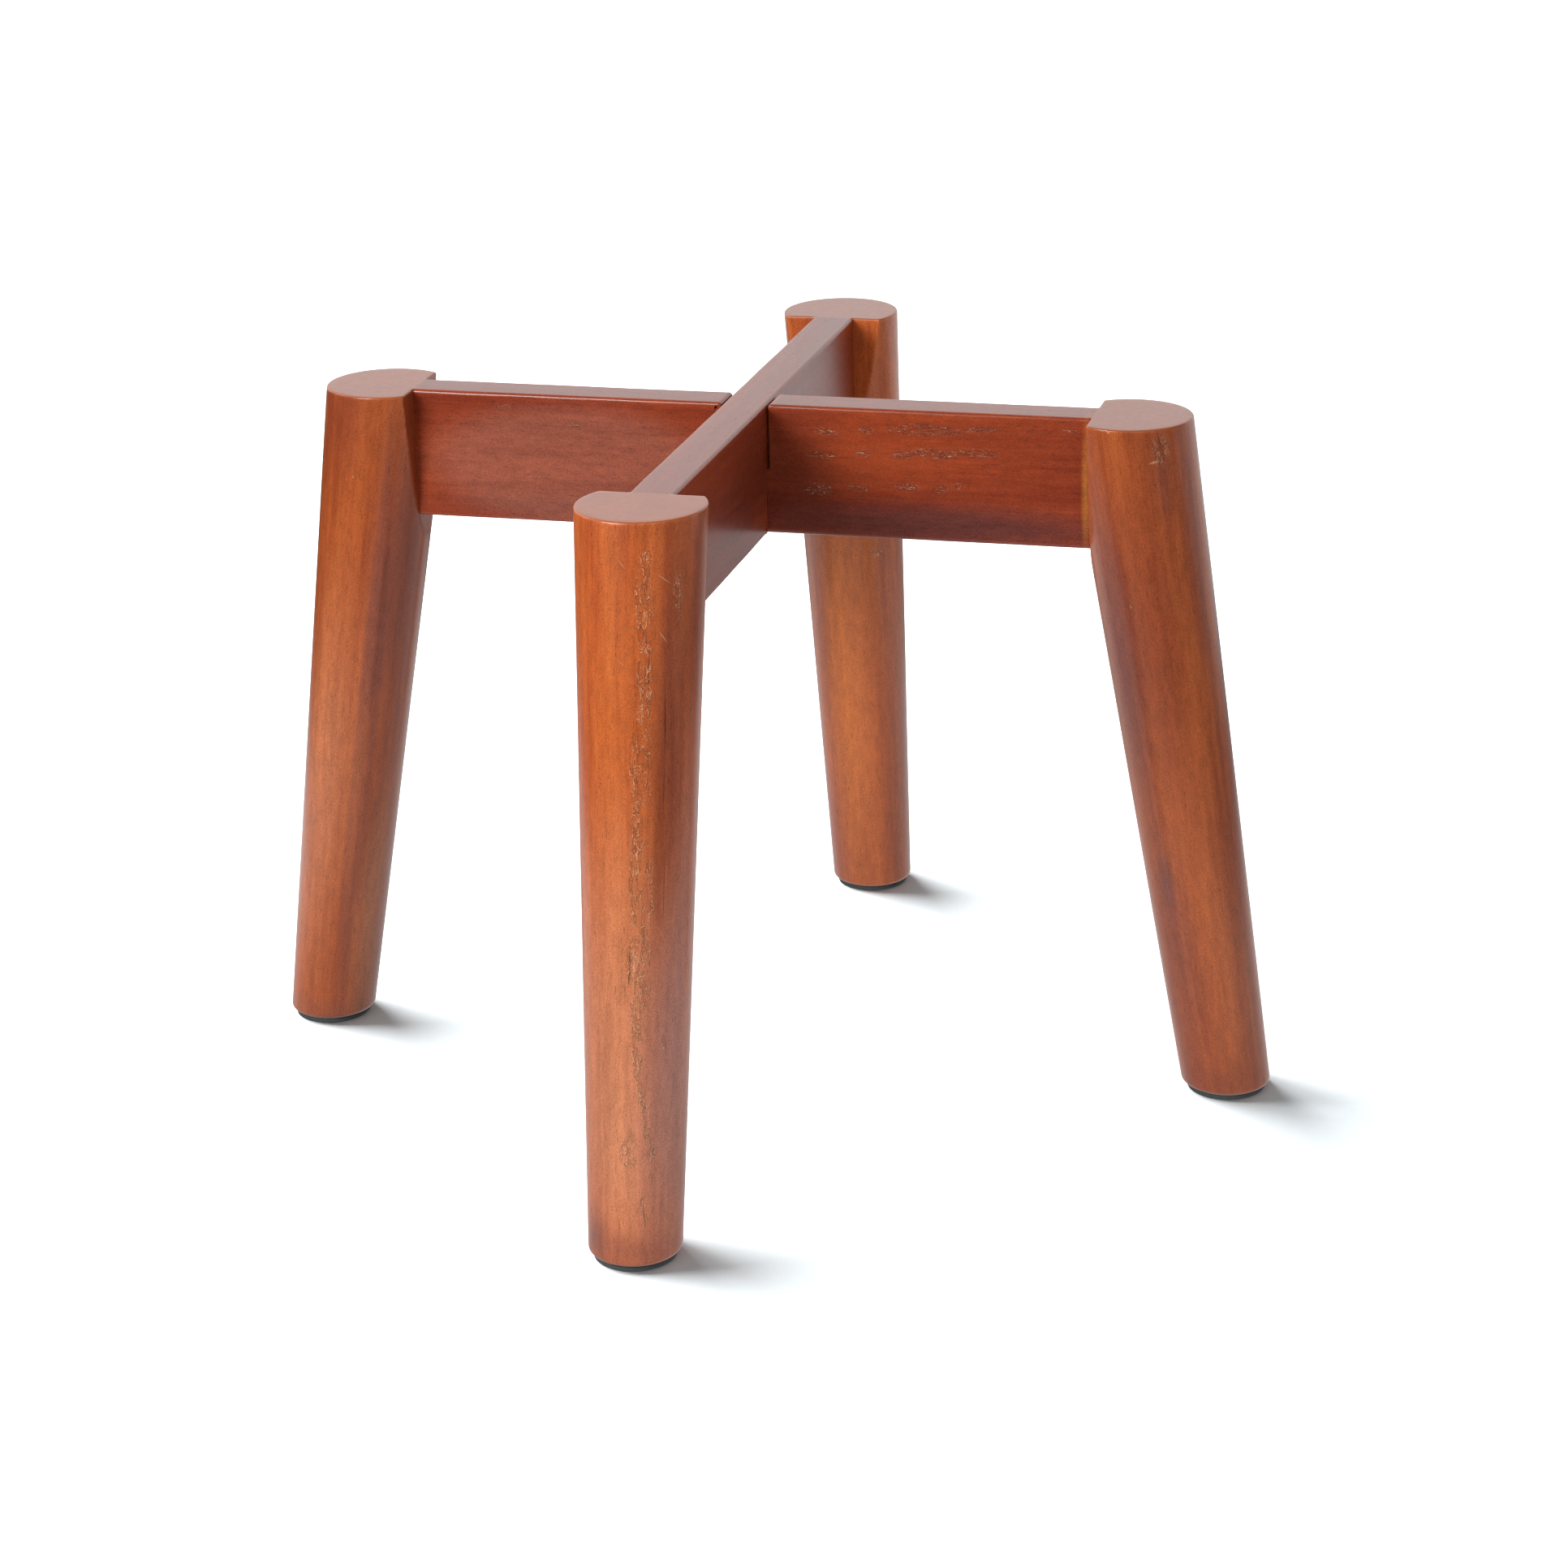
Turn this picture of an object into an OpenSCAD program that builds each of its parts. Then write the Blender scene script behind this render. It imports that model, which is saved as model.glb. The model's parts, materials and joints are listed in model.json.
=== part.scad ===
// Low plant stand made of two leg frames that slot together in a cross.
// Each frame is one flat rail on edge with a splayed, tapered round leg at both ends.
// The legs end flush with the rails, so a pot or a planter rests on the tops.
// Origin: centre of the footprint, on the floor. +X points to the right leg,
// +Y to the back leg, +Z up. The side-to-side rail is notched from above and
// the front-to-back rail from below, so that one frame lifts off the other.

/* [Overall] */
// Height of the stand, from the floor to the flush tops
stand_h = 240; // [200:1:400]

/* [Legs] */
// Diameter of a leg at its top face
leg_top_d = 42; // [38:0.5:52]
// Diameter of a leg at its foot
leg_foot_d = 30.5; // [25:0.5:36]
// Outward splay of each leg in degrees
leg_splay = 8.6; // [5:0.1:11]
// Width of the upright flat that shows beside the rail, at the rail's lower edge
leg_flat_reveal = 0.2; // [0.1:0.1:1.5]
// Width of the eased edge round the top of a leg
leg_top_ease = 0.5; // [0.3:0.1:1.2]
// Width of the eased edge round the foot of a leg
leg_foot_ease = 1.5; // [0.8:0.1:2.5]

/* [Rails] */
// Length of a rail between the flats of its two legs
rail_len = 237; // [160:1:320]
// Height of a rail
rail_h = 45; // [36:1:56]
// Thickness of a rail
rail_t = 15; // [13:0.5:19]
// Width of the eased long edges of a rail
rail_ease = 1; // [0.3:0.1:2]

/* [Crossing] */
// Free space between a notch and each face of the rail that sits in it
notch_gap = 0.5; // [0.2:0.1:1]
// Width of the eased lips of a notch
notch_ease = 0.8; // [0.3:0.1:2]

/* [Dowels] */
// Diameter of a dowel
dowel_d = 8; // [6:0.5:9]
// Length of a dowel
dowel_len = 30; // [20:1:36]
// Height between the two dowels at one end of a rail
dowel_pitch = 22; // [16:1:26]
// Width of the tapered ends of a dowel
dowel_ease = 0.8; // [0.3:0.1:1.5]
// Number of glue flutes round a dowel
dowel_flutes = 12; // [6:1:20]
// Depth of a glue flute
flute_depth = 0.3; // [0.1:0.05:0.5]
// Space for glue between a dowel and the wall of its hole
glue_gap = 0.05; // [0.02:0.01:0.15]
// Space for glue at each end of a dowel
glue_end_gap = 0.5; // [0.2:0.1:0.9]

/* [Feet] */
// Thickness of a foot pad
pad_t = 2; // [1.5:0.1:5]
// Thickness of the adhesive film between a pad and its leg
film_t = 0.2; // [0.1:0.1:0.8]
// Width of the leg's end that shows round a pad
pad_reveal = 0.2; // [0:0.1:2]
// Width of the eased lower edge of a pad
pad_ease = 0.4; // [0.2:0.1:0.8]

/* [Hidden] */
$fn = 64;
// How far a cutting shape runs past the face that it cuts
cut = 1;
// Spare length of the leg taper at each end, before the level cuts
leg_spare = 12;

// Levels
foot_z = pad_t + film_t;
rail_z = stand_h - rail_h;
lap_z = stand_h - rail_h / 2;

// Leg taper, measured square to the leg's own axis
leg_top_r = leg_top_d / 2;
leg_foot_r = leg_foot_d / 2;
leg_len = (stand_h - foot_z) / cos(leg_splay);
leg_taper = (leg_top_r - leg_foot_r) / leg_len;

// The flat is set so deep that at the rail's lower edge it still covers the rail
leg_r_at_rail_z = leg_top_r - leg_taper * rail_h / cos(leg_splay);
flat_half_w = rail_t / 2 + leg_flat_reveal;
axis_off_at_rail_z = sqrt(pow(leg_r_at_rail_z, 2) - pow(flat_half_w, 2)) / cos(leg_splay);
axis_off_at_top = axis_off_at_rail_z - rail_h * tan(leg_splay);

// Where a leg's axis meets the top and the foot, from the stand's centre
leg_top_x = rail_len / 2 + axis_off_at_top;
leg_foot_x = leg_top_x + (stand_h - foot_z) * tan(leg_splay);

// A notch is half the rail's height and takes the other rail with a gap on both sides
notch_half_w = rail_t / 2 + notch_gap;
notch_depth = rail_h / 2;

pad_r = leg_foot_r - leg_foot_ease - pad_reveal;

// Turns of the four arms of the cross about the vertical axis
arm_right = 0;
arm_back = 90;
arm_left = 180;
arm_front = 270;

// Heights of the dowels above or below the middle of the rail
dowel_upper = dowel_pitch / 2;
dowel_lower = -dowel_pitch / 2;

// Ring that takes a 45 degree eased edge of width ease off the upper rim of a round end
module rim_cutter(r, ease) {
    rotate_extrude()
        polygon([
            [r - ease - cut, cut],
            [r + 2 * cut, cut],
            [r + 2 * cut, -ease - 2 * cut]
        ]);
}

// Hole for one dowel, half in the rail and half in the leg
module dowel_hole(dz) {
    hole_len = dowel_len + 2 * glue_end_gap;
    translate([rail_len / 2 - hole_len / 2, 0, lap_z + dz])
        rotate([0, 90, 0])
            cylinder(h = hole_len, d = dowel_d + 2 * glue_gap);
}

module dowel_holes() {
    dowel_hole(dowel_upper);
    dowel_hole(dowel_lower);
}

// Tapered leg with level ends, and an upright flat where the rail butts against it
module leg(arm) {
    rotate([0, 0, arm])
        difference() {
            intersection() {
                translate([leg_foot_x, 0, foot_z])
                    rotate([0, -leg_splay, 0])
                        translate([0, 0, -leg_spare])
                            cylinder(
                                h = leg_len + 2 * leg_spare,
                                r1 = leg_foot_r - leg_taper * leg_spare,
                                r2 = leg_top_r + leg_taper * leg_spare
                            );
                translate([rail_len / 2, -leg_top_d, foot_z])
                    cube([leg_foot_x, 2 * leg_top_d, stand_h - foot_z]);
            }
            translate([leg_top_x, 0, stand_h])
                rim_cutter(leg_top_r, leg_top_ease);
            translate([leg_foot_x, 0, foot_z])
                mirror([0, 0, 1])
                    rim_cutter(leg_foot_r, leg_foot_ease);
            dowel_holes();
        }
}

// Section of a rail on edge, with its four long edges eased
module rail_section() {
    half_t = rail_t / 2;
    polygon([
        [-half_t + rail_ease, 0],
        [half_t - rail_ease, 0],
        [half_t, rail_ease],
        [half_t, rail_h - rail_ease],
        [half_t - rail_ease, rail_h],
        [-half_t + rail_ease, rail_h],
        [-half_t, rail_h - rail_ease],
        [-half_t, rail_ease]
    ]);
}

// Rail along X with the dowel holes in both its ends
module rail_stock() {
    difference() {
        translate([-rail_len / 2, 0, rail_z])
            rotate([90, 0, 90])
                linear_extrude(rail_len)
                    rail_section();
        dowel_holes();
        rotate([0, 0, 180])
            dowel_holes();
    }
}

// Notch with eased lips that opens upwards from the middle of the rail
module notch_cutter() {
    lip = notch_half_w + notch_ease + cut;
    rotate([90, 0, 0])
        linear_extrude(rail_t + 2 * cut, center = true)
            polygon([
                [-notch_half_w, 0],
                [notch_half_w, 0],
                [notch_half_w, notch_depth - notch_ease],
                [lip, notch_depth + cut],
                [-lip, notch_depth + cut],
                [-notch_half_w, notch_depth - notch_ease]
            ]);
}

// Side-to-side rail, notched from above
module rail_lower() {
    color("sienna")
        difference() {
            rail_stock();
            translate([0, 0, lap_z])
                notch_cutter();
        }
}

// Front-to-back rail, notched from below
module rail_upper() {
    color("sienna")
        rotate([0, 0, 90])
            difference() {
                rail_stock();
                translate([0, 0, lap_z])
                    mirror([0, 0, 1])
                        notch_cutter();
            }
}

module leg_right() {
    color("chocolate") leg(arm_right);
}

module leg_back() {
    color("chocolate") leg(arm_back);
}

module leg_left() {
    color("chocolate") leg(arm_left);
}

module leg_front() {
    color("chocolate") leg(arm_front);
}

// Fluted dowel with tapered ends, half in the rail and half in the leg
module dowel(arm, dz) {
    r = dowel_d / 2;
    half = dowel_len / 2;
    color("burlywood")
        rotate([0, 0, arm])
            translate([rail_len / 2, 0, lap_z + dz])
                rotate([0, 90, 0])
                    difference() {
                        rotate_extrude()
                            polygon([
                                [0, -half],
                                [r - dowel_ease, -half],
                                [r, -half + dowel_ease],
                                [r, half - dowel_ease],
                                [r - dowel_ease, half],
                                [0, half]
                            ]);
                        for (i = [0 : dowel_flutes - 1])
                            rotate([0, 0, i * 360 / dowel_flutes])
                                translate([r, 0, -half - cut])
                                    cylinder(h = dowel_len + 2 * cut, r = flute_depth);
                    }
}

module dowel_right_upper() {
    dowel(arm_right, dowel_upper);
}

module dowel_right_lower() {
    dowel(arm_right, dowel_lower);
}

module dowel_back_upper() {
    dowel(arm_back, dowel_upper);
}

module dowel_back_lower() {
    dowel(arm_back, dowel_lower);
}

module dowel_left_upper() {
    dowel(arm_left, dowel_upper);
}

module dowel_left_lower() {
    dowel(arm_left, dowel_lower);
}

module dowel_front_upper() {
    dowel(arm_front, dowel_upper);
}

module dowel_front_lower() {
    dowel(arm_front, dowel_lower);
}

// Soft round pad with an eased lower edge, which stands on the floor
module pad(arm) {
    color("dimgray")
        rotate([0, 0, arm])
            translate([leg_foot_x, 0, 0])
                rotate_extrude()
                    polygon([
                        [0, 0],
                        [pad_r - pad_ease, 0],
                        [pad_r, pad_ease],
                        [pad_r, pad_t],
                        [0, pad_t]
                    ]);
}

module pad_right() {
    pad(arm_right);
}

module pad_back() {
    pad(arm_back);
}

module pad_left() {
    pad(arm_left);
}

module pad_front() {
    pad(arm_front);
}

// Adhesive film that holds a pad to its leg
module adhesive(arm) {
    color("gainsboro")
        rotate([0, 0, arm])
            translate([leg_foot_x, 0, pad_t])
                cylinder(h = film_t, r = pad_r);
}

module adhesive_right() {
    adhesive(arm_right);
}

module adhesive_back() {
    adhesive(arm_back);
}

module adhesive_left() {
    adhesive(arm_left);
}

module adhesive_front() {
    adhesive(arm_front);
}

rail_lower();
rail_upper();
leg_right();
leg_back();
leg_left();
leg_front();
dowel_right_upper();
dowel_right_lower();
dowel_back_upper();
dowel_back_lower();
dowel_left_upper();
dowel_left_lower();
dowel_front_upper();
dowel_front_lower();
pad_right();
pad_back();
pad_left();
pad_front();
adhesive_right();
adhesive_back();
adhesive_left();
adhesive_front();
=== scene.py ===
# %% [markdown]
# # A low plant stand in stained, lacquered hardwood
#
# The real thing is two flat rails on edge that slot together in a cross, with a round, tapered,
# splayed leg glued to every rail end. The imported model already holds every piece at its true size
# and in its true place. This lesson dresses it: each piece is rebuilt as a finer mesh on the same
# dimensions, gets a procedural finish, and is then tied to the body that it moves with.
#
# The frame comes first, because everything else is measured from it.

import json
import math

import bmesh
import bpy
from mathutils import Matrix, Vector, noise

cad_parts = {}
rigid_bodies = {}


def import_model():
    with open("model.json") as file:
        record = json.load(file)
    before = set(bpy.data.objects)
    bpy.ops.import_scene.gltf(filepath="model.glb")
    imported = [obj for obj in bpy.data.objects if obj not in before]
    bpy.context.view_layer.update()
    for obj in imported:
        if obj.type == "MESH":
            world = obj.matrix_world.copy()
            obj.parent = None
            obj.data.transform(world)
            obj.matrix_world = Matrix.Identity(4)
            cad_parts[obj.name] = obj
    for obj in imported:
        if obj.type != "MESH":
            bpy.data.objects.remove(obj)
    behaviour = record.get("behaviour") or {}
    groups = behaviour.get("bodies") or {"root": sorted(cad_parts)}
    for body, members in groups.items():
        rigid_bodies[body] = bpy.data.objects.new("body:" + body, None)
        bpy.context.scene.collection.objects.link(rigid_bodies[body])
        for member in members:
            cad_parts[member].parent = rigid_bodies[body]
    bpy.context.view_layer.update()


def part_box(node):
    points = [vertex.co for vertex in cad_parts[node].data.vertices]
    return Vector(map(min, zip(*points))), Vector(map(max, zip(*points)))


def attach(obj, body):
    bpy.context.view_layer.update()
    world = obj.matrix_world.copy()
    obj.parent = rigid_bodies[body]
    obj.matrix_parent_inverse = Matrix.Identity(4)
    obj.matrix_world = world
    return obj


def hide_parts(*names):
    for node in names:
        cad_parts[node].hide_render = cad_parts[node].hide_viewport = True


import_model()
MM = 0.001

# %% [markdown]
# ## Driving dimensions
#
# Lengths that a box can tell are read from the frame, so that they can never disagree with it. A box
# cannot tell a taper or a splay, so the few values that shape a leg are written here, in metres and
# degrees, as the maker would write them on a drawing.

# %% Dimensions read from the frame
ARM_TURN = {"right": 0.0, "back": 90.0, "left": 180.0, "front": 270.0}
BODY_OF_ARM = {"right": "lower_frame", "left": "lower_frame",
               "back": "upper_frame", "front": "upper_frame"}
FIRST_ARM = {"lower_frame": "right", "upper_frame": "back"}

rail_low, rail_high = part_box("rail_lower")
leg_low, leg_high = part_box("leg_right")
pad_low, pad_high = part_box("pad_right")
film_low, film_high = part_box("adhesive_right")

STAND_HEIGHT = rail_high.z
RAIL_LENGTH = rail_high.x - rail_low.x
RAIL_HEIGHT = rail_high.z - rail_low.z
RAIL_THICKNESS = rail_high.y - rail_low.y
RAIL_LEVEL = rail_low.z
LAP_LEVEL = STAND_HEIGHT - RAIL_HEIGHT / 2
FLAT_X = RAIL_LENGTH / 2
FOOT_LEVEL = leg_low.z
LEG_HEIGHT = STAND_HEIGHT - FOOT_LEVEL
FOOT_X = (pad_low.x + pad_high.x) / 2
PAD_RADIUS = (pad_high.x - pad_low.x) / 2
PAD_THICKNESS = pad_high.z - pad_low.z
FILM_THICKNESS = film_high.z - film_low.z
print(f"rail {RAIL_LENGTH / MM:.1f} x {RAIL_THICKNESS / MM:.1f} x {RAIL_HEIGHT / MM:.1f} mm, "
      f"foot centre {FOOT_X / MM:.2f} mm from the middle")

# %% Dimensions that shape the legs, the dowels and the eased edges
LEG_TOP_RADIUS = 21.0 * MM
LEG_FOOT_RADIUS = 15.25 * MM
LEG_SPLAY = math.radians(8.6)
LEG_TOP_EASE = 0.7 * MM
LEG_FOOT_EASE = 1.9 * MM
FLAT_EASE = 0.3 * MM

RAIL_EASE = 1.15 * MM
NOTCH_HALF_WIDTH = RAIL_THICKNESS / 2 + 0.5 * MM
NOTCH_LIP = 1.3 * MM

DOWEL_RADIUS = 4.0 * MM
DOWEL_LENGTH = 30 * MM
DOWEL_PITCH = 22 * MM
DOWEL_EASE = 0.8 * MM
DOWEL_FLUTES = 12
FLUTE_DEPTH = 0.3 * MM
GLUE_GAP = 0.05 * MM
GLUE_END_GAP = 0.5 * MM

PAD_EASE = 0.55 * MM
FILM_EASE = 0.05 * MM
print(f"leg {2 * LEG_TOP_RADIUS / MM:.1f} mm wide at its top and "
      f"{2 * LEG_FOOT_RADIUS / MM:.1f} mm at its foot")

# %% [markdown]
# ## Formulas made of nodes
#
# Both the shapes and the finishes below are formulas. A formula such as `a + b * c` takes two Math
# nodes, and wiring them by hand hides what it says. A small class wraps an output socket, so that
# plain arithmetic on it adds the nodes. It works alike in a geometry tree and in a shader tree.


# %% Adding a node, and a socket that can stand in a formula
NODES_IN_ROW, NODE_WIDTH, NODE_HEIGHT = 12, 190, 260


def feed(tree, socket, value):
    """Links a Wire or a socket to an input, or writes a plain value on it."""
    if isinstance(value, Wire):
        tree.links.new(value.socket, socket)
    elif isinstance(value, bpy.types.NodeSocket):
        tree.links.new(value, socket)
    else:
        socket.default_value = value


def add_node(tree, kind, inputs=None, **settings):
    """Adds a node, sets its options, and feeds its inputs by name or number."""
    node = tree.nodes.new(kind)
    row, column = divmod(len(tree.nodes), NODES_IN_ROW)
    node.location = (column * NODE_WIDTH, -row * NODE_HEIGHT)
    for name, value in settings.items():
        setattr(node, name, value)
    for name, value in (inputs or {}).items():
        feed(tree, node.inputs[name], value)
    return node


class Wire:
    """An output socket. Arithmetic on it adds Math nodes to its tree and gives a new Wire."""

    def __init__(self, tree, socket):
        self.tree = tree
        self.socket = socket

    def math(self, operation, *others):
        return wire(self.tree, "ShaderNodeMath", dict(enumerate((self, *others))), operation=operation)

    def __add__(self, other):
        return self.math("ADD", other)

    def __sub__(self, other):
        return self.math("SUBTRACT", other)

    def __rsub__(self, other):
        return wire(self.tree, "ShaderNodeMath", {0: other, 1: self}, operation="SUBTRACT")

    def __mul__(self, other):
        return self.math("MULTIPLY", other)

    def __truediv__(self, other):
        return self.math("DIVIDE", other)

    __radd__ = __add__
    __rmul__ = __mul__

    def share(self):
        """The value held between 0 and 1."""
        return wire(self.tree, "ShaderNodeClamp", {0: self})

    def ramp(self, start, end, low=0.0, high=1.0):
        """A smooth step: low before start, high after end."""
        return wire(self.tree, "ShaderNodeMapRange",
                    {"Value": self, "From Min": start, "From Max": end, "To Min": low, "To Max": high},
                    interpolation_type="SMOOTHSTEP")

    def parts(self):
        """The three parts of a vector, as Wires."""
        node = add_node(self.tree, "ShaderNodeSeparateXYZ", {0: self})
        return [Wire(self.tree, out) for out in node.outputs]


def wire(tree, kind, inputs=None, output=0, **settings):
    """Adds a node and gives one of its outputs as a Wire."""
    return Wire(tree, add_node(tree, kind, inputs, **settings).outputs[output])


def combine(tree, x, y, z):
    """Three numbers as one vector."""
    return wire(tree, "ShaderNodeCombineXYZ", {0: x, 1: y, 2: z})


def hypot(a, b):
    """The length of a right triangle's long side."""
    return (a * a + b * b).math("SQRT")


# %% Making a node group with named sockets
FLOAT = "NodeSocketFloat"
COUNT = "NodeSocketInt"
VECTOR = "NodeSocketVector"
COLOUR = "NodeSocketColor"
SHAPE = "NodeSocketGeometry"
SKIN = "NodeSocketMaterial"
TYPE_OF = {float: FLOAT, int: COUNT, tuple: COLOUR}


def new_group(name, kind, inputs, outputs):
    """A node tree with an interface. An input is named with its usual value, or only with its type."""
    tree = bpy.data.node_groups.new(name, kind)
    for socket_name, value in inputs.items():
        socket_type = TYPE_OF.get(type(value), value)
        socket = tree.interface.new_socket(socket_name, in_out="INPUT", socket_type=socket_type)
        if socket_type != value:
            socket.default_value = value
    for socket_name, socket_type in outputs.items():
        tree.interface.new_socket(socket_name, in_out="OUTPUT", socket_type=socket_type)
    entry = tree.nodes.new("NodeGroupInput")
    leave = tree.nodes.new("NodeGroupOutput")
    given = {socket_name: Wire(tree, entry.outputs[socket_name]) for socket_name in inputs}
    return tree, given, leave.inputs


def shape_tree(name, sizes):
    """A group for a modifier: a blank and a material come in, and the finished piece goes out."""
    inputs = {"Geometry": SHAPE, **sizes, "Skin": SKIN}
    return new_group(name, "GeometryNodeTree", inputs, {"Geometry": SHAPE})


def place_group(tree, group, inputs=None):
    """Places a group in a tree as one node."""
    kind = "GeometryNodeGroup" if tree.bl_idname == "GeometryNodeTree" else "ShaderNodeGroup"
    node = tree.nodes.new(kind)
    node.node_tree = group
    for name, value in (inputs or {}).items():
        feed(tree, node.inputs[name], value)
    return node


# %% [markdown]
# ## Steps that every shape tree uses
#
# A few steps come back in every tree of a shape: moving the points, welding the seam of a rolled grid,
# and storing a value on the points. The last step always turns instances into real geometry, because
# an export drops them.


# %% Steps that every tree uses
WELD_DISTANCE = 0.002 * MM


def moved(tree, shape, place):
    return wire(tree, "GeometryNodeSetPosition", {"Geometry": shape, "Position": place})


def welded(tree, shape):
    return wire(tree, "GeometryNodeMergeByDistance", {"Geometry": shape, "Distance": WELD_DISTANCE})


def stored(tree, shape, name, value, kind="FLOAT_VECTOR"):
    return wire(tree, "GeometryNodeStoreNamedAttribute", {
        "Geometry": shape, "Name": name, "Value": value}, data_type=kind)


def end_tree(tree, leave, shape, skin):
    """Shades the shape smooth, makes its instances real, and gives it its material."""
    smooth = wire(tree, "GeometryNodeSetShadeSmooth", {"Geometry": shape, "Shade Smooth": True})
    real = wire(tree, "GeometryNodeRealizeInstances", {"Geometry": smooth})
    feed(tree, leave["Geometry"], wire(tree, "GeometryNodeSetMaterial", {
        "Geometry": real, "Material": skin}))


# %% [markdown]
# ## A turned body, as one reusable node group
#
# Legs, foot pads, adhesive films and dowels all start as the same thing: a round body with a radius
# at each end and an eased rim at each end, as it comes off a lathe. A grid is rolled up into that
# form. Its rows run from the middle of the lower face, round the lower rim, up the wall, round the
# upper rim and in to the middle of the upper face. Five shares, each held between 0 and 1, say how
# far a row has got on each of those stretches, so one formula covers them all.
#
# A spun profile with a Bevel modifier would do as well. With a grid the row spacing on each stretch
# can be chosen, the seam and both poles close by merging, and the group fits in any other tree. It
# also hands on how it placed each point, so that a leg can be leaned over afterwards.


# %% The turned body
def turned_body_group():
    tree, given, leave = new_group("turned body", "GeometryNodeTree", {
        "Lower Radius": LEG_FOOT_RADIUS, "Upper Radius": LEG_TOP_RADIUS, "Height": LEG_HEIGHT,
        "Lower Ease": LEG_FOOT_EASE, "Upper Ease": LEG_TOP_EASE, "Columns": 96, "Face Rows": 8,
        "Rim Rows": 5, "Wall Rows": 20}, {
        "Body": SHAPE, "Turn": FLOAT, "Level": FLOAT, "Inset": FLOAT, "Reach": FLOAT})
    face, rim, wall = given["Face Rows"], given["Rim Rows"], given["Wall Rows"]
    rows = face * 2.0 + rim * 2.0 + wall
    grid = add_node(tree, "GeometryNodeMeshGrid", {
        "Size X": 1.0, "Size Y": 1.0, "Vertices X": given["Columns"] + 1.0, "Vertices Y": rows + 1.0})
    across, up, _ = wire(tree, "GeometryNodeInputPosition").parts()
    turn = (across + 0.5) * math.tau
    row = (up + 0.5) * rows
    lower_face = (row / face).share()
    lower_rim = ((row - face) / rim).share() * (math.pi / 2)
    on_wall = ((row - face - rim) / wall).share()
    upper_rim = ((row - face - rim - wall) / rim).share() * (math.pi / 2)
    upper_face = ((row - face - rim * 2.0 - wall) / face).share()

    low_ease, high_ease = given["Lower Ease"], given["Upper Ease"]
    level = (low_ease * (1.0 - lower_rim.math("COSINE"))
             + (given["Height"] - low_ease - high_ease) * on_wall
             + high_ease * upper_rim.math("SINE"))
    inset = low_ease * (1.0 - lower_rim.math("SINE")) + high_ease * (1.0 - upper_rim.math("COSINE"))
    reach = lower_face - upper_face
    radius = (given["Lower Radius"]
              + (given["Upper Radius"] - given["Lower Radius"]) * level / given["Height"])
    ring = (radius - inset) * reach

    keep = add_node(tree, "GeometryNodeCaptureAttribute", {"Geometry": grid.outputs["Mesh"]})
    for name, value in (("Turn", turn), ("Level", level), ("Inset", inset), ("Reach", reach)):
        keep.capture_items.new("FLOAT", name)
        feed(tree, keep.inputs[name], value)
        feed(tree, leave[name], keep.outputs[name])
    feed(tree, leave["Body"], moved(tree, keep.outputs["Geometry"], combine(
        tree, turn.math("COSINE") * ring, turn.math("SINE") * ring, level)))
    return tree


turned_body = turned_body_group()
print("turned body:", len(turned_body.nodes), "nodes")

# %% [markdown]
# ## Two small groups of the shapes
#
# A rail end and the flat of its leg share two dowel holes. The same drill group cuts them in both, so
# they always meet. It is a Mesh Boolean with two plain cylinders, which is how a drill works. The
# dowels stand on the same two points later on.
#
# Small parts stand on two opposite arms of each frame. Instances on two turned points put them there.


# %% The drill, and copies on opposite arms
def on_dowel_line(tree, given, part):
    """An upright round part laid along X, at both dowel places of a joint."""
    laid = wire(tree, "GeometryNodeTransform", {"Geometry": part, "Rotation": (0.0, math.pi / 2, 0.0)})
    start = combine(tree, given["Face X"], 0.0, given["Middle Level"] - given["Pitch"] / 2.0)
    line = wire(tree, "GeometryNodeMeshLine", {
        "Count": 2, "Start Location": start, "Offset": combine(tree, 0.0, 0.0, given["Pitch"])})
    return wire(tree, "GeometryNodeInstanceOnPoints", {"Points": line, "Instance": laid})


def drill_group():
    tree, given, leave = new_group("drill dowel holes", "GeometryNodeTree", {
        "Blank": SHAPE, "Face X": FLAT_X, "Middle Level": LAP_LEVEL, "Pitch": DOWEL_PITCH,
        "Hole Radius": DOWEL_RADIUS + GLUE_GAP, "Hole Length": DOWEL_LENGTH + 2 * GLUE_END_GAP}, {
        "Drilled": SHAPE})
    bit = wire(tree, "GeometryNodeMeshCylinder", {
        "Vertices": 40, "Radius": given["Hole Radius"], "Depth": given["Hole Length"]})
    bits = wire(tree, "GeometryNodeRealizeInstances", {"Geometry": on_dowel_line(tree, given, bit)})
    cut = wire(tree, "GeometryNodeMeshBoolean", {"Mesh 1": given["Blank"], "Mesh 2": bits},
               operation="DIFFERENCE", solver="MANIFOLD")
    feed(tree, leave["Drilled"], cut)
    return tree


def opposite_arms_group():
    tree, given, leave = new_group("on opposite arms", "GeometryNodeTree", {
        "Part": SHAPE, "First Turn": 0.0}, {"Parts": SHAPE})
    middle = wire(tree, "GeometryNodeMeshLine", {"Count": 2, "Offset": (0.0, 0.0, 0.0)})
    turn = wire(tree, "GeometryNodeInputIndex") * math.pi + given["First Turn"]
    placed = wire(tree, "GeometryNodeInstanceOnPoints", {
        "Points": middle, "Instance": given["Part"], "Rotation": combine(tree, 0.0, 0.0, turn)})
    feed(tree, leave["Parts"], placed)
    return tree


drill = drill_group()
opposite_arms = opposite_arms_group()
print("shape helpers:", drill.name, "|", opposite_arms.name)

# %% [markdown]
# ## From a tree to a plain mesh
#
# A tree only describes a shape. The finished piece is a plain mesh with its place in its vertices,
# because that is what is exported. So each tree runs once as a modifier on an empty carrier object,
# its result is copied to a new mesh, and the carrier goes. An input of a modifier is set by its
# socket's identifier, before the object is first evaluated.


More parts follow.
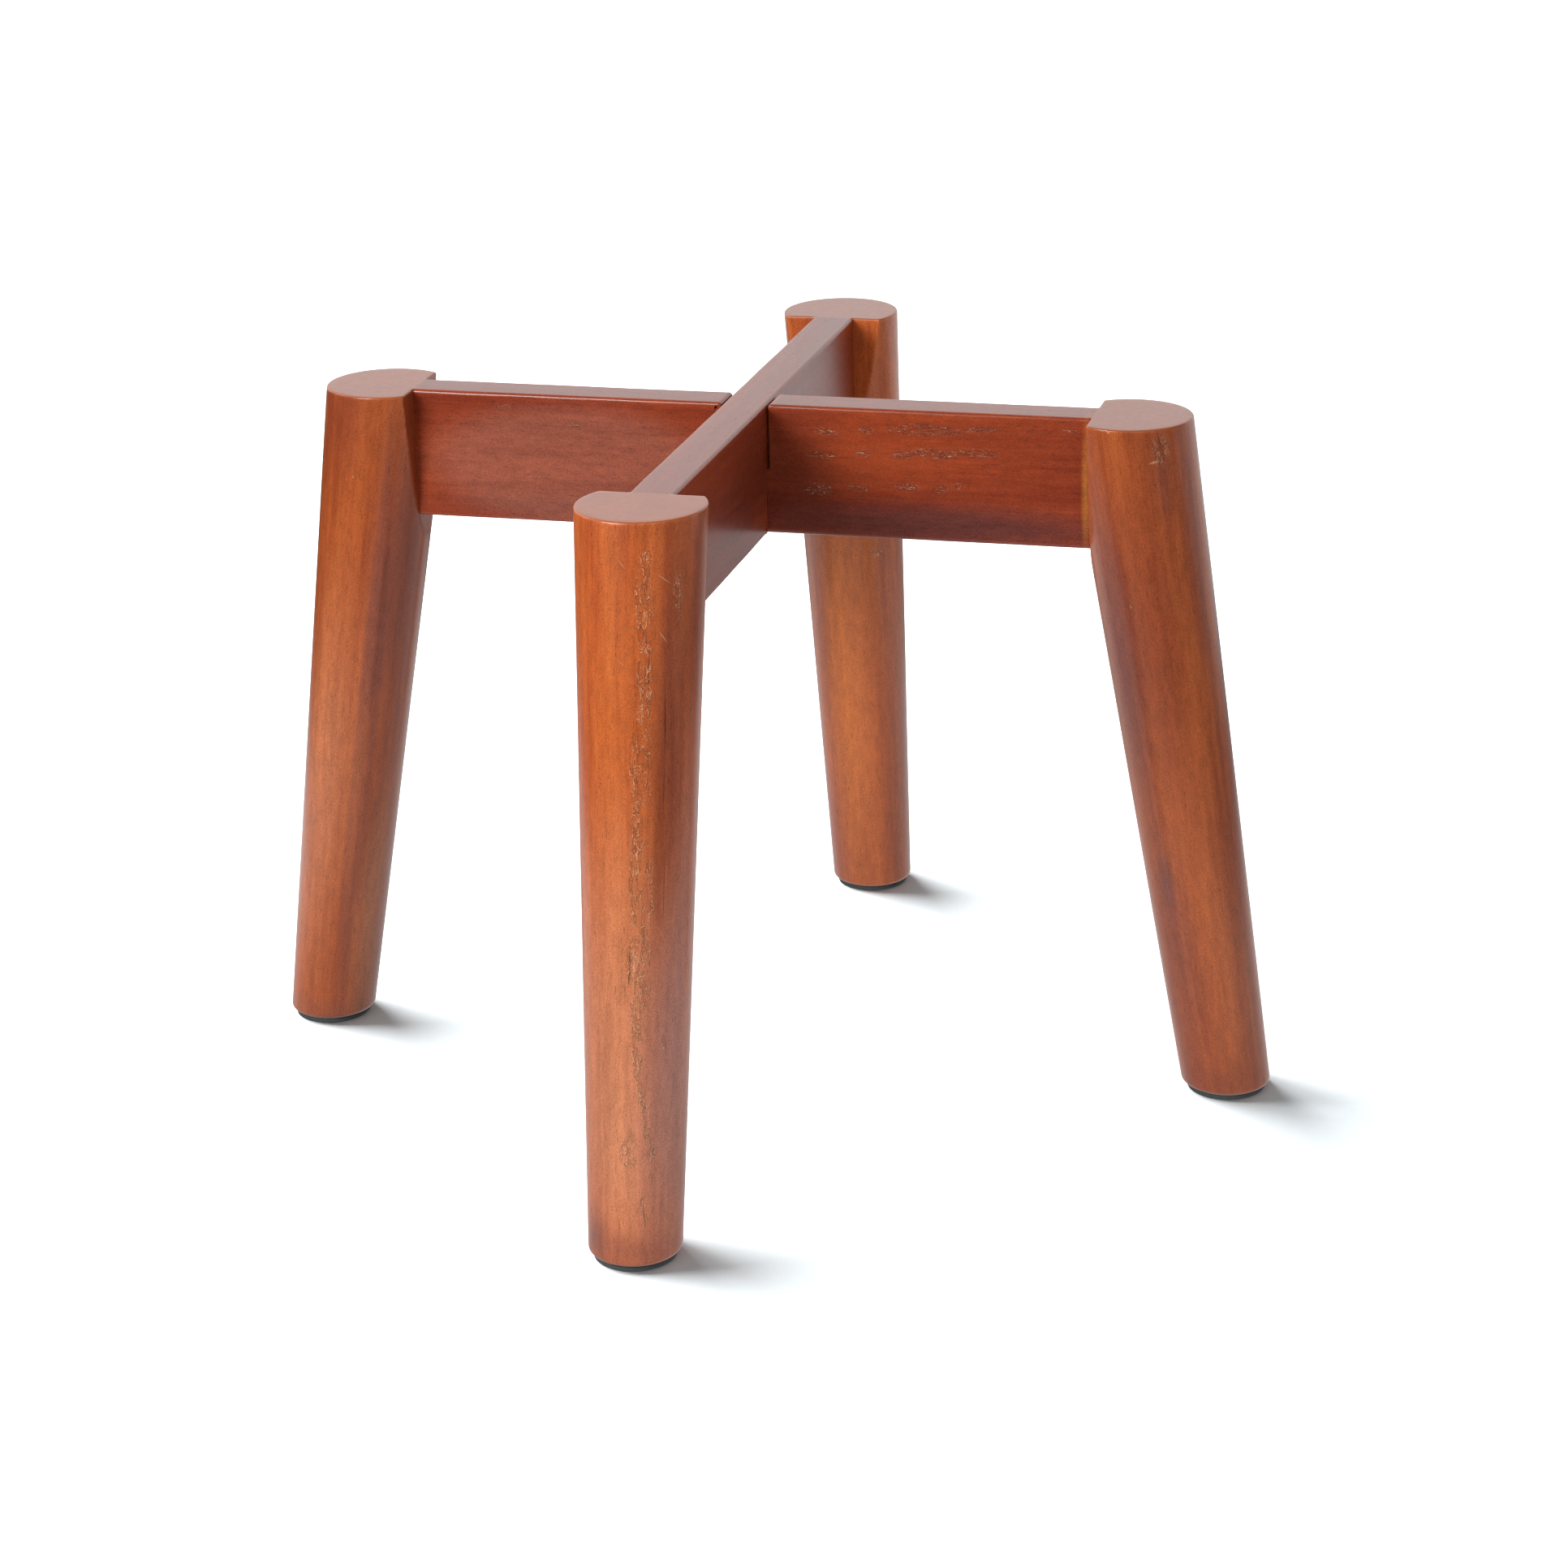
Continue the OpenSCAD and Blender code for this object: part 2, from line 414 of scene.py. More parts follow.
# %% Running a tree and keeping its mesh
SHARP_ANGLE = math.radians(35)


def link(name, data):
    """A new object in the scene, for a mesh, a camera or a lamp."""
    made = bpy.data.objects.new(name, data)
    bpy.context.scene.collection.objects.link(made)
    return made


def grown(name, tree, values, start=None):
    """The mesh that a geometry tree makes with these values of its named inputs."""
    carrier = link(name + "_carrier", start or bpy.data.meshes.new(name + "_carrier"))
    run = carrier.modifiers.new("grow", "NODES")
    run.node_group = tree
    socket_of = {s.name: s.identifier for s in tree.interface.items_tree
                 if s.item_type == "SOCKET" and s.in_out == "INPUT"}
    for socket_name, value in values.items():
        run[socket_of[socket_name]] = value
    graph = bpy.context.evaluated_depsgraph_get()
    mesh = bpy.data.meshes.new_from_object(carrier.evaluated_get(graph), depsgraph=graph)
    bpy.data.objects.remove(carrier)
    mesh.name = name
    mesh.set_sharp_from_angle(angle=SHARP_ANGLE)
    return mesh


pieces = []


def finish_piece(name, mesh, body, nodes):
    """Makes the piece an object, ties it to its body and hides the CAD nodes it stands for."""
    piece = link(name, mesh)
    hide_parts(*nodes)
    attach(piece, body)
    size = [piece.dimensions[i] / MM for i in range(3)]
    print(f"{name}: {len(mesh.polygons)} faces, {size[0]:.1f} x {size[1]:.1f} x {size[2]:.1f} mm")
    pieces.append(piece)
    return piece


# %% [markdown]
# ## The legs
#
# A leg is turned round and tapered, leaned outwards, and sawn level at both ends. On the inner side it
# has an upright flat that the rail's end is glued to.
#
# Sawing a leaning cone level gives an ellipse at every height. Its centre and half widths are all in
# proportion to the cone's radius there, so the upright turned body becomes the leaning one with three
# constant factors: exactly the shape of the construction, and with evenly spaced rows. The flat holds
# every point of the outline back behind a plane, with a smooth maximum that eases its two arrises. The
# rims are then drawn in towards the middle of each level section, except where the rail lies against
# the flat, because there the two tops were sanded flush together.
#
# No hand-held leg is quite true, so a slow noise takes up to a tenth of a millimetre off the radius.


# %% The leg tree
WANDER_ACROSS, WANDER_ALONG, WANDER_RATE = 0.02, 0.35, 60.0
FLAT_BLEND = 0.4 * MM
RAIL_BLEND = (-0.2 * MM, 0.6 * MM)
EDGE_BAND = (0.2 * MM, 1.6 * MM)
NO_EDGE = 10 * MM


def leg_tree():
    tree, given, leave = shape_tree("splayed leg", {
        "Top Radius": LEG_TOP_RADIUS, "Foot Radius": LEG_FOOT_RADIUS, "Height": LEG_HEIGHT,
        "Foot Level": FOOT_LEVEL, "Foot X": FOOT_X, "Splay": LEG_SPLAY, "Flat X": FLAT_X,
        "Rail Thickness": RAIL_THICKNESS, "Top Ease": LEG_TOP_EASE, "Foot Ease": LEG_FOOT_EASE,
        "Flat Ease": FLAT_EASE, "Wander": 0.1 * MM, "Arm Turn": 0.0, "Columns": 168, "Wall Rows": 290,
        "Seed": 0.0})
    body = place_group(tree, turned_body, {
        "Lower Radius": given["Foot Radius"], "Upper Radius": given["Top Radius"],
        "Height": given["Height"], "Lower Ease": given["Foot Ease"], "Upper Ease": given["Top Ease"],
        "Columns": given["Columns"], "Face Rows": 9, "Rim Rows": 6, "Wall Rows": given["Wall Rows"]})
    turn, level, inset, reach = (Wire(tree, body.outputs[n]) for n in ("Turn", "Level", "Inset", "Reach"))
    upright = combine(tree, turn.math("COSINE") * WANDER_ACROSS, turn.math("SINE") * WANDER_ACROSS,
                      level * WANDER_ALONG)
    slow = wire(tree, "ShaderNodeTexNoise", {
        "Vector": upright, "W": given["Seed"], "Scale": WANDER_RATE, "Detail": 2.0},
        noise_dimensions="4D")

    sine, cosine = given["Splay"].math("SINE"), given["Splay"].math("COSINE")
    growth = (given["Top Radius"] - given["Foot Radius"]) * cosine / given["Height"]
    lean = growth * sine
    square = cosine * cosine - lean * lean
    centre_factor, wide_factor = lean / square * -1.0, cosine / square
    deep_factor = cosine / square.math("SQRT")
    radius = (given["Foot Radius"]
              + (given["Top Radius"] - given["Foot Radius"]) * level / given["Height"]
              - slow * given["Wander"])
    middle = given["Foot X"] - level * sine / cosine + radius * centre_factor
    round_x = middle + radius * wide_factor * turn.math("COSINE")
    out_x = round_x.math("SMOOTH_MAX", given["Flat X"], given["Flat Ease"])
    dx, dy = out_x - middle, radius * deep_factor * turn.math("SINE")

    half_rail = given["Rail Thickness"] / 2.0
    on_flat = (out_x - given["Flat X"]).ramp(0.0, FLAT_BLEND, 1.0, 0.0)
    beside_rail = on_flat * dy.math("ABSOLUTE").ramp(
        half_rail + RAIL_BLEND[0], half_rail + RAIL_BLEND[1], 1.0, 0.0)
    drawn_in = inset * (1.0 - beside_rail)
    size = reach * (1.0 - drawn_in / hypot(dx, dy))
    place = combine(tree, middle + dx * size, dy * size, level + given["Foot Level"])

    rim_gap = hypot(dx, dy) * (1.0 - size)
    top_gap = hypot(given["Height"] - level, rim_gap) + beside_rail * NO_EDGE
    foot_gap = hypot(level, rim_gap)
    flat_gap = (round_x - given["Flat X"]).math("ABSOLUTE") + beside_rail * NO_EDGE
    gap = top_gap.math("MINIMUM", foot_gap).math("MINIMUM", flat_gap)
    keep = add_node(tree, "GeometryNodeCaptureAttribute", {"Geometry": body.outputs["Body"]})
    keep.capture_items.new("FLOAT", "Edge")
    feed(tree, keep.inputs["Edge"], gap.ramp(*EDGE_BAND, 1.0, 0.0))
    leaned = welded(tree, moved(tree, keep.outputs["Geometry"], place))
    edged = stored(tree, leaned, "edge", keep.outputs["Edge"], "FLOAT")
    bored = place_group(tree, drill, {"Blank": edged, "Face X": given["Flat X"]})

    x, y, z = wire(tree, "GeometryNodeInputPosition").parts()
    height = z - given["Foot Level"]
    beside = x - given["Foot X"] + height * sine / cosine
    grain = combine(tree, beside * cosine, y, height / cosine - beside * sine)
    turned = wire(tree, "GeometryNodeTransform", {
        "Geometry": stored(tree, bored.outputs["Drilled"], "grain", grain),
        "Rotation": combine(tree, 0.0, 0.0, given["Arm Turn"])})
    end_tree(tree, leave, turned, given["Skin"])
    return tree


splayed_leg = leg_tree()
print("splayed leg:", len(splayed_leg.nodes), "nodes")

# %% [markdown]
# ## The rails
#
# A rail is a planed board on edge: straight, with flat faces, and with long edges that a sanding block
# has rounded. Half of its height is cut away in the middle, and the lips of that notch are rounded by
# hand too. This shape is not a field of points that a rule can bend, but a side view with a thickness,
# so it is built in mesh code.
#
# The side view is one closed outline. Copies of it, drawn in by a little more each time, climb over
# the rounded edge from one face to the other, and quads join each copy to the next. Every point knows
# which way is inwards, so the inner corners of the notch open while the outer corners close. The
# radius wanders a little along the board, because a block held in a hand never takes off quite the
# same amount. Two extra copies on each flat face keep its shading flat up to the edge.

# %% The side view of a rail
EDGE_STEP = 3 * MM
LIP_POINTS = 6
LIP_SIDE = 1.2 * MM


def steps(start, end, step=EDGE_STEP):
    """Evenly spaced values from start towards end, without the end."""
    count = max(1, round(abs(end - start) / step))
    return [start + (end - start) * i / count for i in range(count)]


def lip(centre_x, centre_z, first, last):
    """The points of a quarter circle, and which way is inwards from each."""
    turns = [first + (last - first) * i / LIP_POINTS for i in range(LIP_POINTS + 1)]
    return [(centre_x + NOTCH_LIP * math.cos(t), centre_z + NOTCH_LIP * math.sin(t),
             -math.cos(t), -math.sin(t)) for t in turns]


def rail_outline():
    """Points (x, z, inwards x, inwards z) round a rail from its lower left, with the notch on top."""
    end, top = RAIL_LENGTH / 2, RAIL_HEIGHT / 2
    wall, lip_x, lip_z = NOTCH_HALF_WIDTH, NOTCH_HALF_WIDTH + NOTCH_LIP, top - NOTCH_LIP
    side_x = lip_x + LIP_SIDE
    points = [(x, -top, 0, 1) for x in steps(-end, end)]
    points += [(end, -top, 0, 1)]
    points += [(x, top, 0, -1) for x in steps(end, side_x) + [side_x]]
    points += lip(lip_x, lip_z, math.pi / 2, math.pi)
    points += [(wall, z, 1, 0) for z in steps(lip_z, 0)[1:]]
    points += [(wall, 0, 1, -1)]
    points += [(x, 0, 0, -1) for x in steps(wall, -wall)[1:]]
    points += [(-wall, 0, -1, -1)]
    points += [(-wall, z, -1, 0) for z in steps(0, lip_z)[1:]]
    points += lip(-lip_x, lip_z, 0, math.pi / 2)
    points += [(x, top, 0, -1) for x in [-side_x] + steps(-side_x, -end)[1:]]
    points += [(-end, top, 0, -1)]
    return points


outline = rail_outline()
print("rail outline:", len(outline), "points")

# %% The rail's skin, row by row from one face to the other
ROUND_ROWS = 5
FACE_MARGINS = (1.6 * MM, 0.45 * MM)
WALL_SHARES = (0.93, 0.78, 0.5, 0.22, 0.0)
NOTCH_EASE = 0.8 * MM
LIP_LIMIT = 0.96 * NOTCH_LIP
RADIUS_WANDER = 0.3
HAND_RATES = (35, 90)
HAND_SIDES = (3, 7)
HAIR = 0.01 * MM


def rail_rows():
    """Rows as (share of the radius drawn in, margin on the face, share dropped, share of the wall)."""
    quarter = [math.pi / 2 * i / ROUND_ROWS for i in range(ROUND_ROWS + 1)]
    rows = [(1.0, margin, 0.0, 1.0) for margin in FACE_MARGINS]
    rows += [(1 - math.sin(t), 0.0, 1 - math.cos(t), 1.0) for t in quarter]
    rows += [(0.0, 0.0, 1.0, share) for share in WALL_SHARES]
    return rows + [(a, m, d, -s) for a, m, d, s in reversed(rows[:-1])]


def rail_mesh(name, seed):
    """A rail along X round the origin, notched from above, with its edge mask."""
    half_thickness = RAIL_THICKNESS / 2
    end = RAIL_LENGTH / 2 - HAIR
    notch_zone = NOTCH_HALF_WIDTH + NOTCH_LIP + HAIR
    bm = bmesh.new()
    mask = bm.verts.layers.float.new("edge")
    loops = []
    for drawn, margin, dropped, share in rail_rows():
        loop = []
        for x, z, in_x, in_z in outline:
            in_notch = abs(x) < notch_zone and z > -HAIR
            hand = noise.noise(Vector((
                x * HAND_RATES[0], z * HAND_RATES[1] + HAND_SIDES[share <= 0], seed)))
            radius = NOTCH_EASE if in_notch else RAIL_EASE * (1 + RADIUS_WANDER * hand)
            pull = drawn * radius + margin
            on_lip = in_x and in_z and z > HAIR
            if on_lip:
                pull = min(pull, LIP_LIMIT)
            end_pull = -math.copysign(margin, x) if abs(x) > end else 0
            y = (half_thickness - dropped * radius) * share
            vert = bm.verts.new((x + in_x * pull + end_pull, y, z + in_z * pull))
            on_round = margin == 0 and abs(share) == 1
            near = margin == FACE_MARGINS[1] or abs(share) == WALL_SHARES[0]
            vert[mask] = 1.0 if on_round or (on_lip and margin == 0) else 0.5 * near
            loop.append(vert)
        loops.append(loop)
    count = len(outline)
    for upper, lower in zip(loops, loops[1:]):
        for i in range(count):
            j = (i + 1) % count
            bm.faces.new((upper[i], upper[j], lower[j], lower[i]))
    bm.faces.new(reversed(loops[0]))
    bm.faces.new(loops[-1])
    mesh = bpy.data.meshes.new(name)
    bm.to_mesh(mesh)
    bm.free()
    return mesh


print("rail skin:", len(rail_rows()), "rows")

# %% [markdown]
# The rest of a rail is the same for both: dowel holes in its ends, the direction of its grain, and its
# place. A short tree does that. The grain is stored as an attribute: a place in the board's own terms,
# with the third number along the fibres. Leg and rail finishes read only that and the edge mask, so the
# same wood material runs along every piece, whichever way it points.


# %% The rail tree
def rail_tree():
    tree, given, leave = shape_tree("drilled rail", {
        "Length": RAIL_LENGTH, "Middle Level": LAP_LEVEL, "Flip": 0.0, "Arm Turn": 0.0})
    drilled = given["Geometry"]
    for side in (0.5, -0.5):
        cut = place_group(tree, drill, {
            "Blank": drilled, "Face X": given["Length"] * side, "Middle Level": 0.0})
        drilled = Wire(tree, cut.outputs["Drilled"])
    flipped = wire(tree, "GeometryNodeTransform", {
        "Geometry": drilled, "Rotation": combine(tree, given["Flip"], 0.0, 0.0)})
    x, y, z = wire(tree, "GeometryNodeInputPosition").parts()
    placed = wire(tree, "GeometryNodeTransform", {
        "Geometry": stored(tree, flipped, "grain", combine(tree, y, z, x)),
        "Rotation": combine(tree, 0.0, 0.0, given["Arm Turn"]),
        "Translation": combine(tree, 0.0, 0.0, given["Middle Level"])})
    end_tree(tree, leave, placed, given["Skin"])
    return tree


drilled_rail = rail_tree()
print("drilled rail:", len(drilled_rail.nodes), "nodes")

# %% [markdown]
# ## Foot pads, adhesive films and dowels
#
# A pad is a disc of soft foam rubber with a rounded lower edge, a little waisted at its top and bottom
# because it bulges under load. Its adhesive film is the same disc, only thinner, so one tree makes
# both. The dowels are beech rods with pressed flutes that let the glue escape. They are sealed inside
# the joints, but they are pieces of their own, so they are made as such.


# %% The tree for pads and films
def disc_tree():
    tree, given, leave = shape_tree("foot discs", {
        "Radius": PAD_RADIUS, "Thickness": PAD_THICKNESS, "Lower Ease": PAD_EASE,
        "Upper Ease": FILM_EASE, "Waist": 0.15 * MM, "Foot X": FOOT_X, "Level": 0.0, "First Turn": 0.0})
    body = place_group(tree, turned_body, {
        "Lower Radius": given["Radius"], "Upper Radius": given["Radius"], "Height": given["Thickness"],
        "Lower Ease": given["Lower Ease"], "Upper Ease": given["Upper Ease"], "Columns": 72,
        "Face Rows": 7, "Rim Rows": 4, "Wall Rows": 8})
    x, y, z = wire(tree, "GeometryNodeInputPosition").parts()
    from_middle = z / given["Thickness"] * 2.0 - 1.0
    size = 1.0 - from_middle * from_middle * given["Waist"] / given["Radius"]
    pressed = welded(tree, moved(tree, body.outputs["Body"], combine(
        tree, x * size + given["Foot X"], y * size, z + given["Level"])))
    both = place_group(tree, opposite_arms, {"Part": pressed, "First Turn": given["First Turn"]})
    end_tree(tree, leave, both.outputs["Parts"], given["Skin"])
    return tree


# %% The tree for the dowels
def dowel_tree():
    tree, given, leave = shape_tree("fluted dowels", {
        "Radius": DOWEL_RADIUS, "Length": DOWEL_LENGTH, "Ease": DOWEL_EASE, "Flutes": DOWEL_FLUTES,
        "Flute Depth": FLUTE_DEPTH, "Pitch": DOWEL_PITCH, "Face X": FLAT_X, "Middle Level": LAP_LEVEL,
        "First Turn": 0.0})
    body = place_group(tree, turned_body, {
        "Lower Radius": given["Radius"], "Upper Radius": given["Radius"], "Height": given["Length"],
        "Lower Ease": given["Ease"], "Upper Ease": given["Ease"], "Columns": 144, "Face Rows": 3,
        "Rim Rows": 2, "Wall Rows": 6})
    x, y, z = wire(tree, "GeometryNodeInputPosition").parts()
    groove = (Wire(tree, body.outputs["Turn"]) * given["Flutes"]).math("COSINE").ramp(0.3, 1.0)
    size = 1.0 - groove * given["Flute Depth"] / given["Radius"]
    fluted = welded(tree, moved(tree, body.outputs["Body"], combine(
        tree, x * size, y * size, z - given["Length"] / 2.0)))
    grained = stored(tree, fluted, "grain", wire(tree, "GeometryNodeInputPosition"))
    both = place_group(tree, opposite_arms, {
        "Part": on_dowel_line(tree, given, grained), "First Turn": given["First Turn"]})
    end_tree(tree, leave, both.outputs["Parts"], given["Skin"])
    return tree


foot_discs = disc_tree()
fluted_dowels = dowel_tree()
print("small parts:", len(foot_discs.nodes), "and", len(fluted_dowels.nodes), "nodes")

# %% [markdown]
# ## Wood under stain and lacquer
#
# The legs and the rails are a pale, fine-grained hardwood, stained red-brown and sprayed with satin
# lacquer. Close up that is several things, one on top of another: slow bands of lighter and darker
# wood, streaks and fibres along the grain, short dark pores, a speckle in the sprayed stain, and a
# lacquer film that is never quite flat. Lathe and lacquer leave flaws too, such as torn grain that
# dries in wrinkles, small cracks, dents and pale scratches.
#
# Each of those is a shader node group that gives out masks and values. The groups read the grain
# attribute, so they follow the fibres on every piece and move with it. A solid pattern in wood
# coordinates runs through the whole board, so a top face shows the end grain of the same fibres.


# %% Helpers of the finishes
def new_skin(name):
    """A material with nodes, with its tree and its shader."""
    skin = bpy.data.materials.new(name)
    skin.use_nodes = True
    return skin, skin.node_tree, skin.node_tree.nodes["Principled BSDF"]


def noise_at(tree, vector, **inputs):
    """A noise value around 0.5 at a place that is already scaled."""
    values = {"Vector": vector, "Scale": 1.0, "Detail": 2.0}
    values.update(inputs)
    return wire(tree, "ShaderNodeTexNoise", values)


def stretched(grain, across, along, seed=0.0):
    """A place in the wood with so many features per metre across and along the fibres."""
    x, y, z = grain.parts()
    return combine(grain.tree, x * across + seed, y * across - seed, z * along + seed)


def dot(tree, a, b):
    """How far one vector reaches along another."""
    return wire(tree, "ShaderNodeVectorMath", {0: a, 1: b}, "Value", operation="DOT_PRODUCT")


def stored_value(tree, name, output):
    """An attribute that the shape trees stored on the points."""
    return wire(tree, "ShaderNodeAttribute", output=output, attribute_name=name)


def opaque(colour):
    """Three plain numbers with the fourth that a socket needs. A Wire stays as it is."""
    return colour if isinstance(colour, Wire) else (*colour, 1.0)


def mixed(tree, share, first, second):
    """Two colours mixed. The Mix node repeats its sockets' names, so its colour sockets go by number."""
    return wire(tree, "ShaderNodeMix", {0: share, 6: opaque(first), 7: opaque(second)}, 2,
                data_type="RGBA")


def relieved(tree, shader, strength, distance, height):
    """Gives a shader the relief of a height."""
    bump = wire(tree, "ShaderNodeBump", {"Strength": strength, "Distance": distance, "Height": height})
    feed(tree, shader.inputs["Normal"], bump)


# %% The fibres group
def fibres_group():
    tree, given, leave = new_group("wood fibres", "ShaderNodeTree", {
        "Grain": VECTOR, "Seed": 0.0}, {
        "Band": FLOAT, "Streak": FLOAT, "Fibre": FLOAT, "Pore": FLOAT, "Speckle": FLOAT})
    seed = given["Seed"] * 7.3
    x, y, z = given["Grain"].parts()
    bend = noise_at(tree, combine(tree, x * 25.0 + seed, y * 25.0, z * 9.0), Detail=1.0) - 0.5
    wood = combine(tree, x + bend * 0.006, y - bend * 0.006, z)
    feed(tree, leave["Band"], noise_at(tree, stretched(wood, 75, 5, seed)))
    feed(tree, leave["Streak"], noise_at(tree, stretched(wood, 420, 14, seed), Detail=3.0))
    feed(tree, leave["Fibre"], noise_at(tree, stretched(wood, 2300, 75, seed)))
    pores = noise_at(tree, stretched(wood, 2900, 260, seed), Detail=1.0)
    feed(tree, leave["Pore"], pores.ramp(0.66, 0.76))
    feed(tree, leave["Speckle"], noise_at(tree, stretched(given["Grain"], 2600, 2000, seed), Detail=1.0))
    return tree


# %% The mark group: one soft or sharp spot at a stated place on a piece
def mark_group():
    tree, given, leave = new_group("mark on wood", "ShaderNodeTree", {
        "Grain": VECTOR, "Middle": VECTOR, "Outwards": VECTOR, "Sideways": VECTOR, "Lengthwise": VECTOR,
        "Softness": 1.0}, {"Mask": FLOAT})
    from_middle = wire(tree, "ShaderNodeVectorMath", {0: given["Grain"], 1: given["Middle"]},
                       operation="SUBTRACT")
    away = hypot(dot(tree, from_middle, given["Sideways"]), dot(tree, from_middle, given["Lengthwise"]))
    inside = away.ramp(1.0, 1.0 - given["Softness"])
    on_side = dot(tree, given["Grain"], given["Outwards"]).math("GREATER_THAN", 0.0)
    feed(tree, leave["Mask"], inside * on_side)
    return tree


# %% The torn grain group: wrinkles and pits in the lacquer where the wood tore, with masks for a painted glint on each ridge and painted shade in the hollow beside it
def torn_group():
    tree, given, leave = new_group("torn grain", "ShaderNodeTree", {
        "Grain": VECTOR, "Patch": 0.0, "Across": 700.0, "Along": 170.0, "Seed": 0.0}, {
        "Glinting Ridge": FLOAT, "Shaded Hollow": FLOAT, "Height": FLOAT})
    seed = given["Seed"] * 3.1
    x, y, z = given["Grain"].parts()
    place = combine(tree, x * given["Across"] + seed, y * given["Across"], z * given["Along"])
    field = noise_at(tree, place, Detail=2.0, Distortion=0.7)
    thin_out = noise_at(tree, stretched(given["Grain"], 260, 110, seed), Detail=1.0)
    gate = (given["Patch"] + thin_out * 0.9 - 0.75).ramp(0.0, 0.3)
    # The ridge mask becomes a painted glint in the colour, and the hollow, on one side of each ridge,
    # painted shade.
    glinting_ridge = (field - 0.5).math("ABSOLUTE").ramp(0.0, 0.055, 1.0, 0.0) * gate
    shaded_hollow = (field - 0.59).math("ABSOLUTE").ramp(0.02, 0.08, 1.0, 0.0) * gate
    feed(tree, leave["Glinting Ridge"], glinting_ridge)
    feed(tree, leave["Shaded Hollow"], shaded_hollow)
    feed(tree, leave["Height"], glinting_ridge - shaded_hollow)
    return tree


# %% The stained colour group
def stain_group():
    tree, given, leave = new_group("stained colour", "ShaderNodeTree", {
        "Deep": (0.2, 0.04, 0.02, 1), "Light": (0.45, 0.13, 0.04, 1), "Band": 0.5, "Streak": 0.5,
        "Fibre": 0.5, "Pore": 0.0, "Speckle": 0.5, "Edge": 0.0, "Line": 0.0}, {"Colour": COLOUR})
    tone = (0.5 + (given["Band"] - 0.5) * 2.2 + (given["Streak"] - 0.5) * 1.1
            + (given["Fibre"] - 0.5) * 0.5 + given["Edge"] * 0.3).share()
    # Line darkens the cracks, and on the hollows of torn grain it is painted shade.
    level = ((1.0 - given["Pore"] * 0.42) * (1.0 - given["Line"] * 0.4)
             * (1.0 + (given["Speckle"] - 0.5) * 0.9))
    feed(tree, leave["Colour"], wire(tree, "ShaderNodeVectorMath", {
        0: mixed(tree, tone, given["Deep"], given["Light"]), "Scale": level}, operation="SCALE"))
    return tree


fibres, mark, torn, stain = fibres_group(), mark_group(), torn_group(), stain_group()
print("shader groups:", fibres.name, "|", mark.name, "|", torn.name, "|", stain.name)

# %% [markdown]
# ## One recipe for six wood materials
#
# The recipe below is called once for every leg and rail. The groups are shared, and each piece adds its
# own seed, its own pair of stain colours and its own list of marks, because no two turned legs are the
# same. A mark is given by the side of the piece that it is on, as an angle about the fibres, and by how
# far along them it lies. Masks of one kind add up before they reach a group, so a leg with ten flaws
# still has only one torn grain group. A tint is a colour with a list of marks where it replaces the usual
# pair: some tints are stain, and some are painted shadow, painted shade or painted reflection. It goes
# in before the grain does, so the fibres and pores show through it. The ridges of torn grain get a pale
# painted glint and the hollows beside them a painted shade.
#
# The lacquer is the coat of the shader, and the same all over, so its roughness and refraction are
# plain numbers on the shader. The stained wood under it is duller, and a bump carries the relief.


# %% The wood recipe
# The pale colour of the painted glint on torn grain ridges, and of the pale dents.
GLINT_AND_DENT_TINT = (0.74, 0.37, 0.2)
TINT_DARK, TINT_PALE = 0.84, 1.18
LACQUER = {"Specular IOR Level": 0.15, "Coat Weight": 0.86, "Coat Roughness": 0.24, "Coat IOR": 1.5}
SAWN_BAND = (LEG_HEIGHT - 0.5 * MM, LEG_HEIGHT - 0.2 * MM)
CRACK_WANDER = 1.6 * MM


def one_mark(tree, grain, side, along, length, width, strength, softness=1.0, lean=0.0, across=0.0):
    """A mark on a side, in degrees about the fibres. The rest is in millimetres: how far along and
    across the fibres its middle is, and its half length and half width."""
    c, s = math.cos(math.radians(side)), math.sin(math.radians(side))
    spot = place_group(tree, mark, {
        "Grain": grain, "Middle": (-s * across * MM, c * across * MM, along * MM),
        "Outwards": (c, s, 0.0), "Softness": softness,
        "Sideways": (-s / (width * MM), c / (width * MM), -lean / (width * MM)),
        "Lengthwise": (0.0, 0.0, 1 / (length * MM))})
    return Wire(tree, spot.outputs["Mask"]) * strength


def marks_mask(tree, grain, rows):
    """The marks of a list added up, or None where the list is empty."""
    total = None
    for row in rows:
        part = one_mark(tree, grain, *row)
        total = part if total is None else total + part
    return total.share() if total else None


